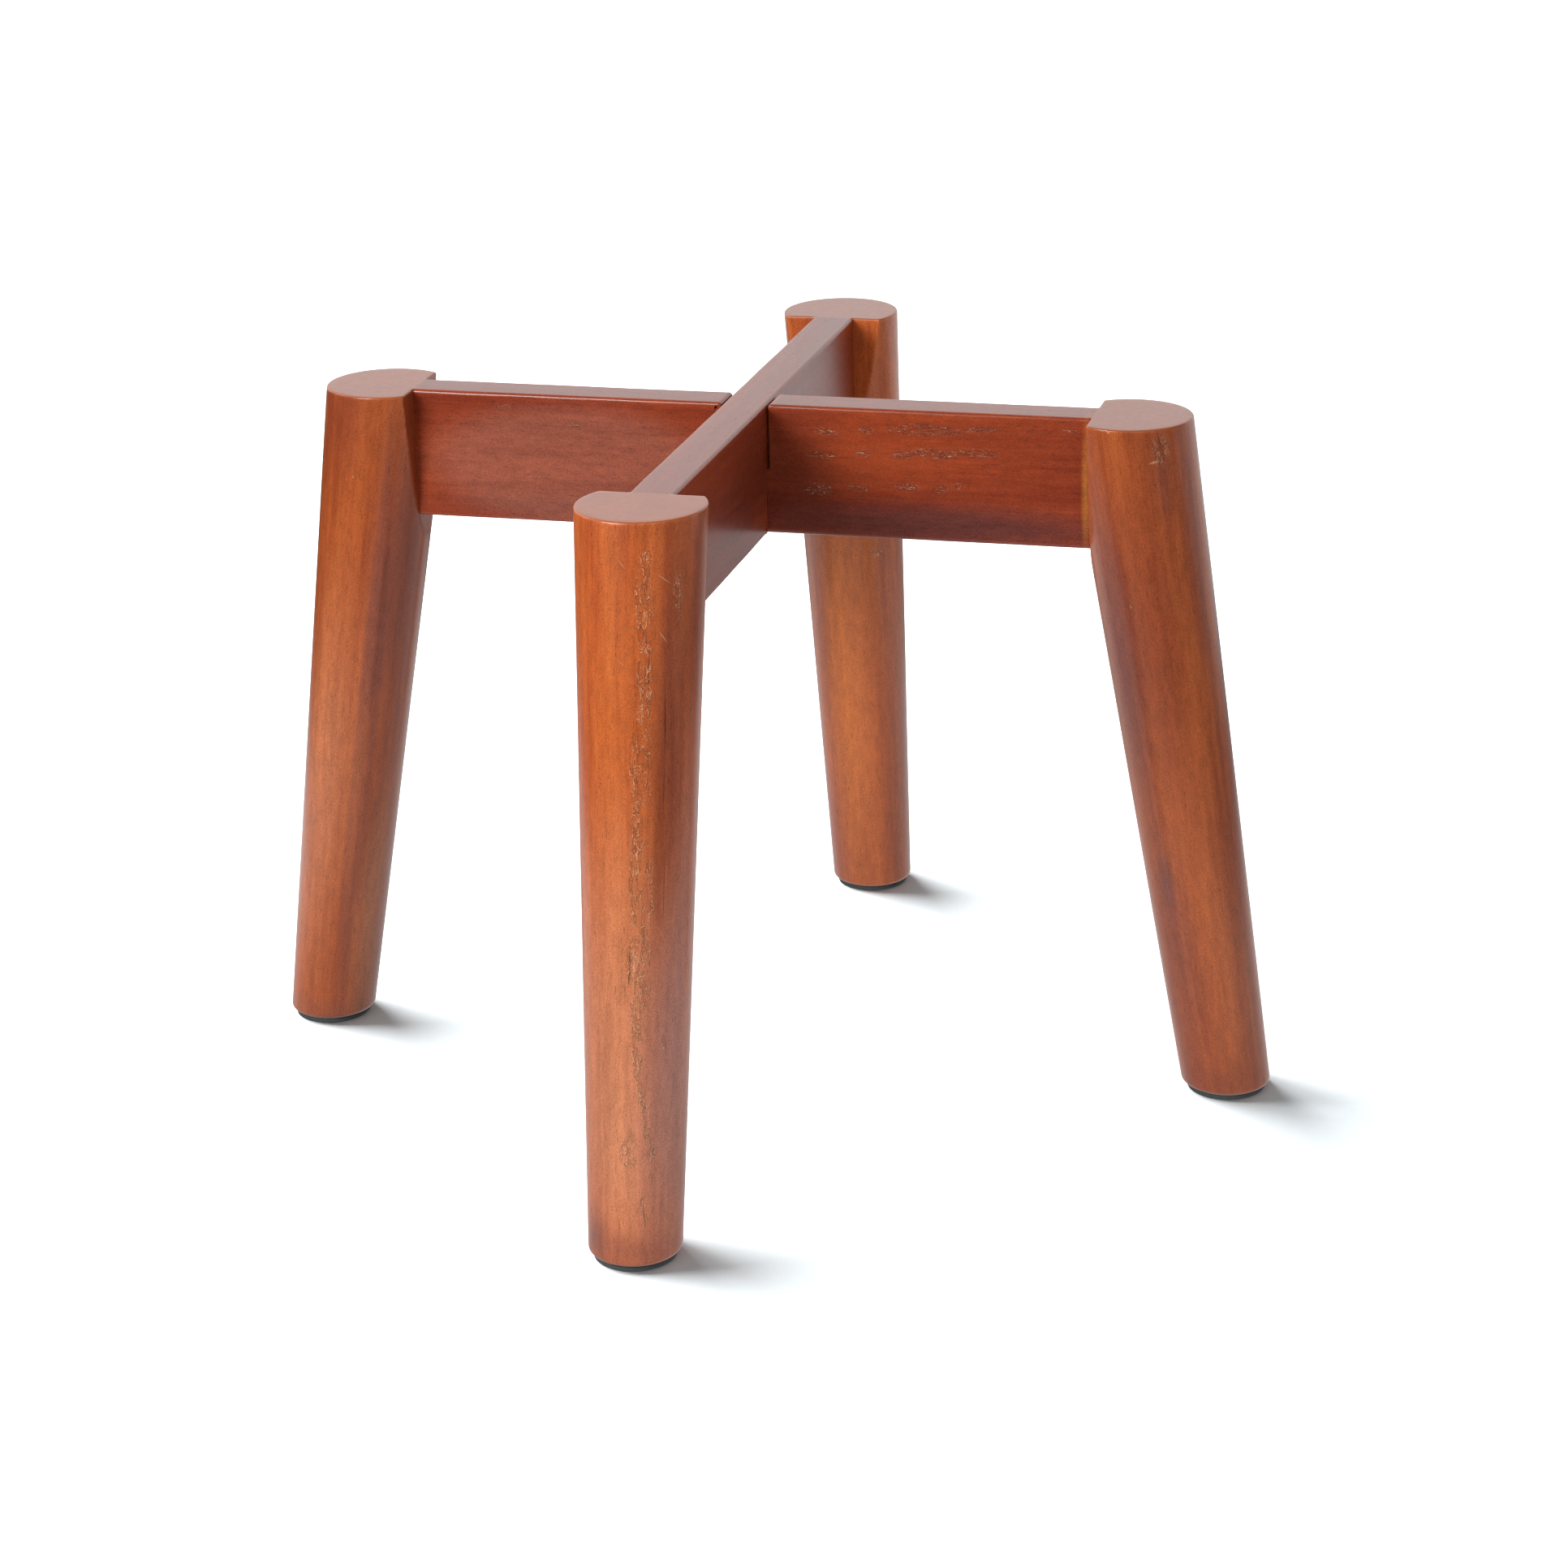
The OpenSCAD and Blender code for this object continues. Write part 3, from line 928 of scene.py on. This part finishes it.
def wood_material(name, seed, deep, light, torn_rates=(700, 170), torn_marks=(), glint_and_shade_shares=(0.4, 0.45),
                  glint_and_dent_tint=GLINT_AND_DENT_TINT, cracks=(), dents=(), tints=(), top_tint=None):
    skin, tree, shader = new_skin(name)
    grain, edge = stored_value(tree, "grain", "Vector"), stored_value(tree, "edge", "Fac")
    wood = place_group(tree, fibres, {"Grain": grain, "Seed": float(seed)})
    band, streak, fibre, pore, speckle = (Wire(tree, out) for out in wood.outputs)
    wander = noise_at(tree, stretched(grain, 0, 170, float(seed)), Detail=3.0) - 0.5
    wavy = wire(tree, "ShaderNodeVectorMath", {
        0: grain, 1: combine(tree, wander * CRACK_WANDER, wander * CRACK_WANDER, 0.0)}, operation="ADD")
    cracked = marks_mask(tree, wavy, cracks)
    dented = marks_mask(tree, grain, dents)
    patch = marks_mask(tree, grain, torn_marks)
    mottle = noise_at(tree, stretched(grain, 420, 150, float(seed)), Detail=3.0) - 0.5
    line = cracked or 0.0
    glinting_ridge, relief = None, 0.0
    if patch:
        across, along = torn_rates
        wrinkles = place_group(tree, torn, {
            "Grain": grain, "Patch": patch, "Across": float(across), "Along": float(along),
            "Seed": float(seed)})
        glinting_ridge, shaded_hollow, relief = (Wire(tree, out) for out in wrinkles.outputs)
        # The hollows beside the ridges darken the colour together with the cracks; on the hollows that is
        # painted shade.
        line = shaded_hollow * glint_and_shade_shares[1] + line
    if cracked:
        relief = relief - cracked * 1.5
    for tint, rows in tints:
        mask = marks_mask(tree, grain, rows)
        deep = mixed(tree, mask, deep, [TINT_DARK * c for c in tint])
        light = mixed(tree, mask, light, [TINT_PALE * c for c in tint])
    coloured = place_group(tree, stain, {
        "Deep": opaque(deep), "Light": opaque(light), "Band": band, "Streak": streak, "Fibre": fibre,
        "Pore": pore, "Speckle": speckle + mottle * 0.55, "Edge": edge * (0.5 + speckle), "Line": line})
    colour = Wire(tree, coloured.outputs["Colour"])
    # Painted glint: the ridges of torn grain are tinted pale in the colour.
    if glinting_ridge:
        painted_glint = glinting_ridge * speckle.ramp(0.4, 0.6, 0.2, glint_and_shade_shares[0] * 2)
        colour = mixed(tree, painted_glint, colour, glint_and_dent_tint)
    if top_tint:
        level = dot(tree, grain, (math.sin(LEG_SPLAY), 0.0, math.cos(LEG_SPLAY)))
        sawn = level.ramp(*SAWN_BAND) * (0.6 + speckle * 0.4)
        colour = mixed(tree, sawn, colour, top_tint)
    feed(tree, shader.inputs["Roughness"], 0.44 + (streak - 0.5) * 0.2 + pore * 0.2)
    height = fibre * 0.10 + speckle * 0.16 - pore * 0.25 + relief
    if dented:
        height = height + dented * 1.2
        colour = mixed(tree, dented * 0.6, colour, glint_and_dent_tint)
    feed(tree, shader.inputs["Base Color"], colour)
    relieved(tree, shader, 0.8, 0.22 * MM, height)
    for socket, value in LACQUER.items():
        feed(tree, shader.inputs[socket], value)
    return skin


# %% [markdown]
# ## What each leg and rail looks like
#
# The front leg has the most character: a column of torn grain runs down it, with two long cracks, a few
# scratches near its top and a purple blush at its foot. The right leg has one wrinkled patch, the back
# leg a worm-like knot, and the left leg is nearly clean. Each leg has broad bands that are darker, more
# orange or pinker; on the front leg the pink low down is partly a painted reflection of the floor, and
# the rose band down its right side is a painted reflection. On the side-to-side rail the torn grain lies
# in many small islands with painted glints, mostly right of the crossing, and a little amber glue shines
# in the joint at its end. A painted shadow darkens that rail just right of the crossing, and painted
# shade darkens the other rail's side face in the corner there.

# %% Legs
LEG_DEEP, LEG_LIGHT = (0.34, 0.058, 0.012), (0.57, 0.13, 0.026)
TOP_TINT = (0.36, 0.085, 0.025)
PURPLE, DARK_RED = (0.16, 0.05, 0.04), (0.2, 0.035, 0.012)
ORANGE, TERRACOTTA = (0.6, 0.15, 0.018), (0.5, 0.14, 0.05)
# The pink tone is partly a painted reflection of the floor, and the rose one a painted reflection.
PINK_TONE_AND_SHEEN, PAINTED_ROSE_REFLECTION = (0.6, 0.24, 0.12), (0.42, 0.19, 0.16)


def leg_stain(share):
    """The two colours of a leg's stain, this much lighter than the usual ones."""
    return tuple(tuple(share * c for c in colour) for colour in (LEG_DEEP, LEG_LIGHT))


leg_skins = {
    "front": wood_material(
        "stained wood, front leg", 3, *leg_stain(0.95), top_tint=TOP_TINT,
        torn_rates=(800, 270), glint_and_shade_shares=(0.42, 0.34), torn_marks=[
            (20, 120, 124, 5.4, 0.4, 0.5), (20, 214, 26, 5.6, 0.5, 0.7), (51, 215, 16, 4.4, 0.55),
            (22, 186, 27, 3.4, 0.6), (12, 161, 14, 2.2, 0.8, 0.8), (13, 128, 24, 3.2, 0.6),
            (12, 97, 12, 4.2, 0.6), (17, 70, 16, 1.9, 0.8, 0.8, -0.03), (45, 72, 5, 2, 0.9),
            (31, 42, 16, 2, 1.1, 0.8, -0.17), (5, 36, 12, 4.6, 0.7), (26, 17, 8, 1.6, 0.9, 0.8, -0.08)],
        cracks=[
            (41, 176, 12, 0.36, 1, 0.7, -0.02), (41, 154, 10, 0.3, 0.7, 0.8),
            (43, 122, 13, 0.26, 0.7, 0.8), (47, 174, 3, 0.26, 0.7, 0.8),
            (25, 191, 9, 0.3, 0.9, 0.8), (8.5, 97, 8, 0.42, 1.1, 0.7, 0.03),
            (-3, 12, 4, 0.24, 0.6, 0.8, -0.2), (27, 15, 5, 0.4, 0.8, 0.8, -0.1)],
        dents=[
            (0, 224.5, 2, 0.36, 0.9, 1, -0.9), (37.5, 220, 2, 0.6, 1.2, 1, -1.4),
            (37.5, 202, 2.4, 0.5, 1.1, 1, -0.8), (-1, 194, 1.8, 0.3, 0.8, 1, -0.9)],
        tints=[
            (ORANGE, [(-12, 190, 120, 7, 0.25)]),
            # Partly a painted reflection of the floor: the pink low on the front leg. The narrow mark
            # beside the crack is a painted highlight on its edge.
            (PINK_TONE_AND_SHEEN, [(-8, 75, 100, 26, 0.65), (0, 25, 50, 26, 0.3), (12.5, 97, 7.5, 0.5, 0.8, 0.8)]),
            (PURPLE, [(-44, 8, 14, 8.5, 0.5, 1, 0.1), (50, 185, 70, 6, 0.3, 0.7), (-10, 2, 14, 30, 0.4)]),
            # Painted reflection: a rose band down the front leg's right side.
            (PAINTED_ROSE_REFLECTION, [(66, 70, 110, 11, 0.45), (40, 60, 90, 13, 0.4)]),
            (DARK_RED, [
                (22, 190, 90, 3.6, 0.2), (36, 155, 75, 4.6, 0.6), (12, 2, 10, 16, 0.25),
                (80, 215, 60, 6, 0.5, 0.7)])]),
    "left": wood_material(
        "stained wood, left leg", 11, *leg_stain(0.79), top_tint=TOP_TINT,
        cracks=[(98, 128, 9, 0.16, 0.4), (120, 60, 7, 0.16, 0.4)],
        dents=[(82, 211, 0.8, 0.5, 0.6)],
        tints=[
            (PURPLE, [
                (117, 120, 150, 5, 0.35, 0.5), (124, 160, 60, 6, 0.35, 0.8), (95, 2, 10, 30, 0.3)]),
            (DARK_RED, [(65, 235, 55, 16, 0.65), (110, 245, 50, 30, 0.2), (150, 190, 80, 17, 0.65)]),
            (PINK_TONE_AND_SHEEN, [(72, 100, 110, 16, 0.4), (150, 45, 70, 10, 0.5)])]),
    "right": wood_material(
        "stained wood, right leg", 23, *leg_stain(0.79), top_tint=TOP_TINT,
        torn_rates=(950, 300), glint_and_shade_shares=(0.2, 0.3),
        torn_marks=[(-54, 232, 12, 7, 0.75), (-104, 180, 3, 1.6, 0.8)],
        dents=[(-62, 228, 0.7, 2.6, 1, 1, 0.3), (-100, 240, 0.5, 0.9, 1)],
        tints=[
            (DARK_RED, [
                (-108, 170, 80, 17, 0.6, 0.9), (-125, 60, 90, 9, 0.45),
                (-74, 175, 110, 9, 0.4, 0.9), (-92, 4, 18, 26, 0.45),
                (-32, 190, 50, 6, 0.5, 0.8)]),
            (PURPLE, [
                (-55, 222, 22, 5, 0.4), (-128, 160, 85, 11, 0.75, 0.9),
                (-112, 65, 60, 9, 0.4), (-118, 80, 18, 5, 0.5)]),
            (TERRACOTTA, [(-42, 60, 90, 12, 0.3)])]),
    "back": wood_material(
        "stained wood, back leg", 31, *leg_stain(0.95), top_tint=TOP_TINT,
        torn_rates=(430, 430), torn_marks=[(-139, 148.5, 2, 3.4, 1.2, 0.6)],
        tints=[
            (PINK_TONE_AND_SHEEN, [(168, 100, 170, 13, 0.3)]),
            (ORANGE, [(170, 100, 170, 12, 0.6), (-150, 160, 80, 9, 0.6)])]),
}
print("leg skins:", ", ".join(leg_skins))

# %% Rails
RAIL_DEEP, RAIL_LIGHT = (0.185, 0.021, 0.005), (0.315, 0.047, 0.01)
PLUM, DUSTY_BROWN, AMBER = (0.1, 0.032, 0.03), (0.26, 0.11, 0.08), (0.52, 0.19, 0.03)
PAINTED_CROSSING_SHADOW, PAINTED_CORNER_SHADE = (0.07, 0.012, 0.008), (0.05, 0.008, 0.005)
# The pale colour of the painted glints on the lower rail's torn grain.
RAIL_GLINT_TINT = (0.62, 0.28, 0.16)
NEAR_SIDE = 180
ISLAND_SPREAD = (1.6, 1.3, 1.1)
TORN_ISLANDS = [
    (29, 14, 5, 1.8, 0.9), (42, 15, 3, 1.8, 0.9), (62, 16, 11, 2.6, 1.1), (82, 17, 6, 1.8, 0.8),
    (27, 6, 6, 2.0, 0.8), (41, 7, 3, 1.8, 0.8), (54, 7, 4, 1.6, 1.0), (66, 8, 8, 2.6, 1.1),
    (81, 9, 7, 1.8, 1.0), (40, 0, 2, 1.2, 0.8), (25, -6, 6, 3.0, 0.8), (39, -5, 5, 2.0, 0.8),
    (56, -4, 4, 1.6, 0.9), (68, -4, 3, 1.6, 0.9), (74, -3, 2, 1.6, 0.9), (112, 18, 3, 1.2, 0.9),
    (-86, 18, 6, 1.4, 0.7), (-60, 12, 4, 1.0, 0.6)]


def island_mark(x, z, length, width, strength):
    """An island of torn grain on the rail's near side, this far along it and up from its middle."""
    longer, wider, stronger = ISLAND_SPREAD
    return (NEAR_SIDE, x, length * longer, width * wider, strength * stronger, 1, 0, -z)


rail_skins = {
    "rail_lower": wood_material(
        "stained wood, lower rail", 43, RAIL_DEEP, RAIL_LIGHT, torn_rates=(1500, 300),
        glint_and_shade_shares=(0.4, 0.2), glint_and_dent_tint=RAIL_GLINT_TINT,
        torn_marks=[island_mark(*island) for island in TORN_ISLANDS],
        tints=[
            (PLUM, [(NEAR_SIDE, 66, 90, 11, 0.7, 0.8, 0, 17), (NEAR_SIDE, -66, 80, 8, 0.3, 0.8, 0, 18)]),
            # Painted shadow of the upright rail on the near face, just right of the crossing.
            (PAINTED_CROSSING_SHADOW, [(NEAR_SIDE, 14, 28, 40, 0.5)]),
            (DUSTY_BROWN, [(NEAR_SIDE, -62, 62, 26, 0.4, 0.4, 0, 2)]),
            (AMBER, [(NEAR_SIDE, 117, 2.2, 30, 0.7, 0.9)])]),
    "rail_upper": wood_material(
        "stained wood, upper rail", 57, RAIL_DEEP, RAIL_LIGHT, torn_rates=(900, 400),
        torn_marks=[(90, -60, 30, 6, 0.45), (90, 60, 30, 6, 0.45)],
        # Painted shade on the upper rail's right side face, in the corner by the crossing.
        tints=[(PAINTED_CORNER_SHADE, [(180, -32, 48, 30, 0.35, 0.8)])]),
}
print("wood materials:", len(leg_skins) + len(rail_skins))

# %% [markdown]
# ## Foam, film and bare beech
#
# The foot pads are dark grey foam rubber: matt, with fine closed cells. Their adhesive film is pale and
# slightly cloudy. The dowels are beech with its typical short flecks. They use the fibres group too.


# %% Materials of the small parts
def small_material(name, low, high, rough, relief, scales=None):
    """Foam or film with cells and clouds at two scales, or bare wood where no scales are given."""
    skin, tree, shader = new_skin(name)
    if scales is None:
        wood = place_group(tree, fibres, {"Grain": stored_value(tree, "grain", "Vector"), "Seed": 2.0})
        tone = Wire(tree, wood.outputs["Streak"]) * 0.6 + Wire(tree, wood.outputs["Fibre"]) * 0.4
        fleck = Wire(tree, wood.outputs["Pore"])
    else:
        cell_scale, cloud_scale = scales
        place = wire(tree, "ShaderNodeTexCoord", output="Object")
        cells = wire(tree, "ShaderNodeTexVoronoi", {"Vector": place, "Scale": cell_scale})
        cloud = noise_at(tree, place, Scale=cloud_scale, Detail=3.0)
        tone = cells * 0.5 + cloud * 0.5
        fleck = cells.ramp(0.25, 0.6)
    lightness = (tone - 0.25).share() * (1.0 - fleck * 0.4)
    feed(tree, shader.inputs["Base Color"], mixed(tree, lightness, low, high))
    feed(tree, shader.inputs["Roughness"], rough + (tone - 0.5) * 0.15)
    relieved(tree, shader, 0.7, relief, tone - fleck * 0.5)
    return skin


pad_skin = small_material(
    "foam rubber", (0.035, 0.038, 0.04), (0.12, 0.128, 0.13), 0.88, 0.1 * MM, (2600.0, 900.0))
film_skin = small_material(
    "adhesive film", (0.55, 0.52, 0.46), (0.78, 0.76, 0.7), 0.5, 0.02 * MM, (900.0, 300.0))
dowel_skin = small_material("bare beech", (0.5, 0.33, 0.18), (0.7, 0.52, 0.33), 0.62, 0.05 * MM)
print("small materials:", pad_skin.name, "|", film_skin.name, "|", dowel_skin.name)

# %% [markdown]
# ## Making the pieces
#
# Now each tree runs with the sizes, the turn and the material of one piece. Legs and rails are pieces
# of their own. Pads, films and dowels are small and alike, so each frame has one mesh of each kind, and
# that mesh stands for all of its nodes. Only the pads are soft, and they fill the form of their solids.

# %% Make the legs
for seed, (arm, turn) in enumerate(ARM_TURN.items()):
    mesh = grown(f"stained_leg_{arm}", splayed_leg, {
        "Arm Turn": math.radians(turn), "Seed": float(seed), "Skin": leg_skins[arm]})
    finish_piece(mesh.name, mesh, BODY_OF_ARM[arm], [f"leg_{arm}"])

# %% Make the rails
for seed, (name, body, flip, turn) in enumerate((
        ("rail_lower", "lower_frame", 0.0, 0.0), ("rail_upper", "upper_frame", math.pi, math.pi / 2))):
    blank = rail_mesh(name + "_blank", seed * 5.0)
    mesh = grown(f"stained_{name}", drilled_rail, {
        "Flip": flip, "Arm Turn": turn, "Skin": rail_skins[name]}, start=blank)
    finish_piece(mesh.name, mesh, body, [name])

# %% Make the small parts of each frame
for body, first in FIRST_ARM.items():
    turn = math.radians(ARM_TURN[first])
    arms = [arm for arm in ARM_TURN if BODY_OF_ARM[arm] == body]
    mesh = grown(f"foot_pads_{body}", foot_discs, {"First Turn": turn, "Skin": pad_skin})
    pads = finish_piece(mesh.name, mesh, body, [f"pad_{arm}" for arm in arms])
    mesh = grown(f"adhesive_films_{body}", foot_discs, {
        "Thickness": FILM_THICKNESS, "Lower Ease": FILM_EASE, "Waist": 0.0, "Level": PAD_THICKNESS,
        "First Turn": turn, "Skin": film_skin})
    finish_piece(mesh.name, mesh, body, [f"adhesive_{arm}" for arm in arms])
    mesh = grown(f"dowels_{body}", fluted_dowels, {"First Turn": turn, "Skin": dowel_skin})
    finish_piece(mesh.name, mesh, body,
                 [f"dowel_{arm}_{level}" for arm in arms for level in ("upper", "lower")])

# %% [markdown]
# ## The camera
#
# The viewing angle, the distance and the lens were fitted to the edges and ellipses in the photograph.
# They are written the way one would set up a tripod: where it stands, how far off, and where it aims.


# %% The camera
CAMERA_AZIMUTH = math.radians(14.965)
CAMERA_ELEVATION = math.radians(20.22)
CAMERA_ROLL = math.radians(-1.401)
CAMERA_DISTANCE = 1.3482
CAMERA_AIM_RIGHT = 0.00838
CAMERA_AIM_UP = -0.01852
CAMERA_LENS, CAMERA_SENSOR = 88.44, 36.0
STAND_MIDDLE = Vector((0, 0, STAND_HEIGHT / 2))


def make_camera():
    data = bpy.data.cameras.new("camera")
    data.lens, data.sensor_width = CAMERA_LENS, CAMERA_SENSOR
    data.clip_start, data.clip_end = 0.05, 30.0
    camera = link("camera", data)
    level = math.cos(CAMERA_ELEVATION)
    back = Vector((math.sin(CAMERA_AZIMUTH) * level, -math.cos(CAMERA_AZIMUTH) * level,
                   math.sin(CAMERA_ELEVATION)))
    right = Vector((math.cos(CAMERA_AZIMUTH), math.sin(CAMERA_AZIMUTH), 0))
    up = back.cross(right)
    aim = STAND_MIDDLE + right * CAMERA_AIM_RIGHT + up * CAMERA_AIM_UP
    turned = Matrix((right, up, back)).transposed() @ Matrix.Rotation(CAMERA_ROLL, 3, "Z")
    camera.matrix_world = Matrix.Translation(aim + back * CAMERA_DISTANCE) @ turned.to_4x4()
    bpy.context.scene.camera = camera
    return camera


camera = make_camera()
print("camera at", [round(c, 4) for c in camera.matrix_world.translation])

# %% [markdown]
# ## Floor, backdrop and light
#
# The photograph is a cut-out on white: only a short soft shadow is left to the right of each foot. The
# floor is lit by a lamp of its own, a very wide one on the left, so that shadows fade within a few
# centimetres. For camera rays the floor is bright enough to be pure white where nothing shades it. The
# other lamps light only the stand, with light linking, as flags and grids would do it in a studio.
#
# Satin lacquer shows what lies around: the white sweep behind the stand makes its level tops pale, and
# the floor shows in its upright sides. So for reflected rays the floor is bright near the stand, behind
# it and in a band on its left, and dim farther out in front, and the world is bright behind the stand.


# %% Lamps
def lamp(data, power, toward, receivers):
    """Links a lamp that shines from this direction, only on the objects of a collection."""
    data.energy = power
    made = link(data.name, data)
    made.rotation_euler = toward.to_track_quat("Z", "Y").to_euler()
    made.light_linking.receiver_collection = receivers
    return made


def only(name, objects):
    """A collection that isn't in the scene, to tell a lamp what it lights."""
    chosen = bpy.data.collections.new(name)
    for chosen_object in objects:
        chosen.objects.link(chosen_object)
    return chosen


def softbox(name, azimuth, elevation, distance, size, power, receivers):
    """A rectangular lamp at angles in degrees, seen from the stand's middle."""
    data = bpy.data.lights.new(name, "AREA")
    data.shape = "RECTANGLE"
    data.size, data.size_y = size
    a, e = math.radians(azimuth), math.radians(elevation)
    toward = Vector((math.cos(a) * math.cos(e), math.sin(a) * math.cos(e), math.sin(e)))
    lamp(data, power, toward, receivers).location = STAND_MIDDLE + toward * distance


stand_only = only("stand only", pieces)
softbox("key softbox", -122, 28, 1.2, (0.6, 0.42), 12.8, stand_only)
softbox("front fill", -58, 32, 1.3, (0.8, 0.5), 1.8, stand_only)
softbox("left fill", -178, 30, 1.3, (0.6, 0.5), 2.4, stand_only)

# %% The floor and its own lamp
FLOOR_HALF_SIZE, FLOOR_SQUARES = 6, 8
FLOOR_LIGHT_WIDTH = math.radians(62)
FLOOR_LIGHT_POWER = 10.8
FLOOR_LIGHT_FROM = Vector((-0.8, 0.29, 0.62))

floor_mesh = bpy.data.meshes.new("floor")
bm = bmesh.new()
bmesh.ops.create_grid(bm, x_segments=FLOOR_SQUARES, y_segments=FLOOR_SQUARES, size=FLOOR_HALF_SIZE)
bm.to_mesh(floor_mesh)
bm.free()
floor = link("floor", floor_mesh)

sun = bpy.data.lights.new("floor light", "SUN")
sun.angle = FLOOR_LIGHT_WIDTH
lamp(sun, FLOOR_LIGHT_POWER, FLOOR_LIGHT_FROM, only("floor only", [floor]))
print("floor:", 2 * FLOOR_HALF_SIZE, "m wide")


# %% The look of the floor
def ray_kinds(tree):
    """Two Wires that are 1 for camera rays and for glossy rays."""
    path = tree.nodes.new("ShaderNodeLightPath")
    return Wire(tree, path.outputs["Is Camera Ray"]), Wire(tree, path.outputs["Is Glossy Ray"])


def floor_material():
    skin, tree, shader = new_skin("white sweep")
    shader.inputs["Roughness"].default_value = 1.0
    shader.inputs["Specular IOR Level"].default_value = 0.0
    place = wire(tree, "ShaderNodeTexCoord", output="Object")
    tone = 0.9 + noise_at(tree, place, Scale=300.0, Detail=3.0) * 0.04
    feed(tree, shader.inputs["Base Color"], combine(tree, tone * 0.9, tone * 0.97, tone))
    x, y, _ = place.parts()
    backwards = x * 0.3 + y * 0.95
    near = hypot(x, y).ramp(0.32, 0.64, 1.0, 0.0) * backwards.ramp(-0.25, 0.25, 0.6, 0.75)
    on_left = x.ramp(-0.6, -0.45) * x.ramp(-0.35, -0.2, 0.4, 0.0) * y.ramp(-0.25, 0.0)
    seen = near + backwards.ramp(0.45, 0.8, 0.0, 0.75) + on_left
    from_right = (x + y * 0.3).ramp(-0.15, 0.6, 0.33, 1.0)
    bounce = from_right + hypot(x - 0.1, y + 0.14).ramp(0.04, 0.2, 0.5, 0.0)
    is_camera, is_glossy = ray_kinds(tree)
    glow = wire(tree, "ShaderNodeEmission", {"Strength": is_glossy * seen + (1.0 - is_glossy) * bounce})
    both = wire(tree, "ShaderNodeMixShader", {0: is_camera, 1: glow, 2: shader.outputs[0]})
    feed(tree, tree.nodes["Material Output"].inputs["Surface"], both)
    return skin


floor_mesh.materials.append(floor_material())
print("floor finish:", floor_mesh.materials[0].name)

# %% The world
SWEEP_DIM, SWEEP_BRIGHT = 0.06, 1.05
AMBIENT = 0.32

world = bpy.data.worlds.new("white studio")
bpy.context.scene.world = world
world.use_nodes = True
tree = world.node_tree
background = tree.nodes["Background"]
x, y, _ = wire(tree, "ShaderNodeTexCoord", output="Generated").parts()
sweep = (y * 0.98 - x * 0.17).ramp(0.0, 0.75, SWEEP_DIM, SWEEP_BRIGHT)
is_camera, is_glossy = ray_kinds(tree)
feed(tree, background.inputs["Strength"],
     is_camera + is_glossy * sweep + (1.0 - is_camera - is_glossy) * AMBIENT)
feed(tree, background.inputs["Color"], (1, 1, 1, 1))
bpy.context.scene.view_settings.view_transform = "Standard"
print("world:", world.name)
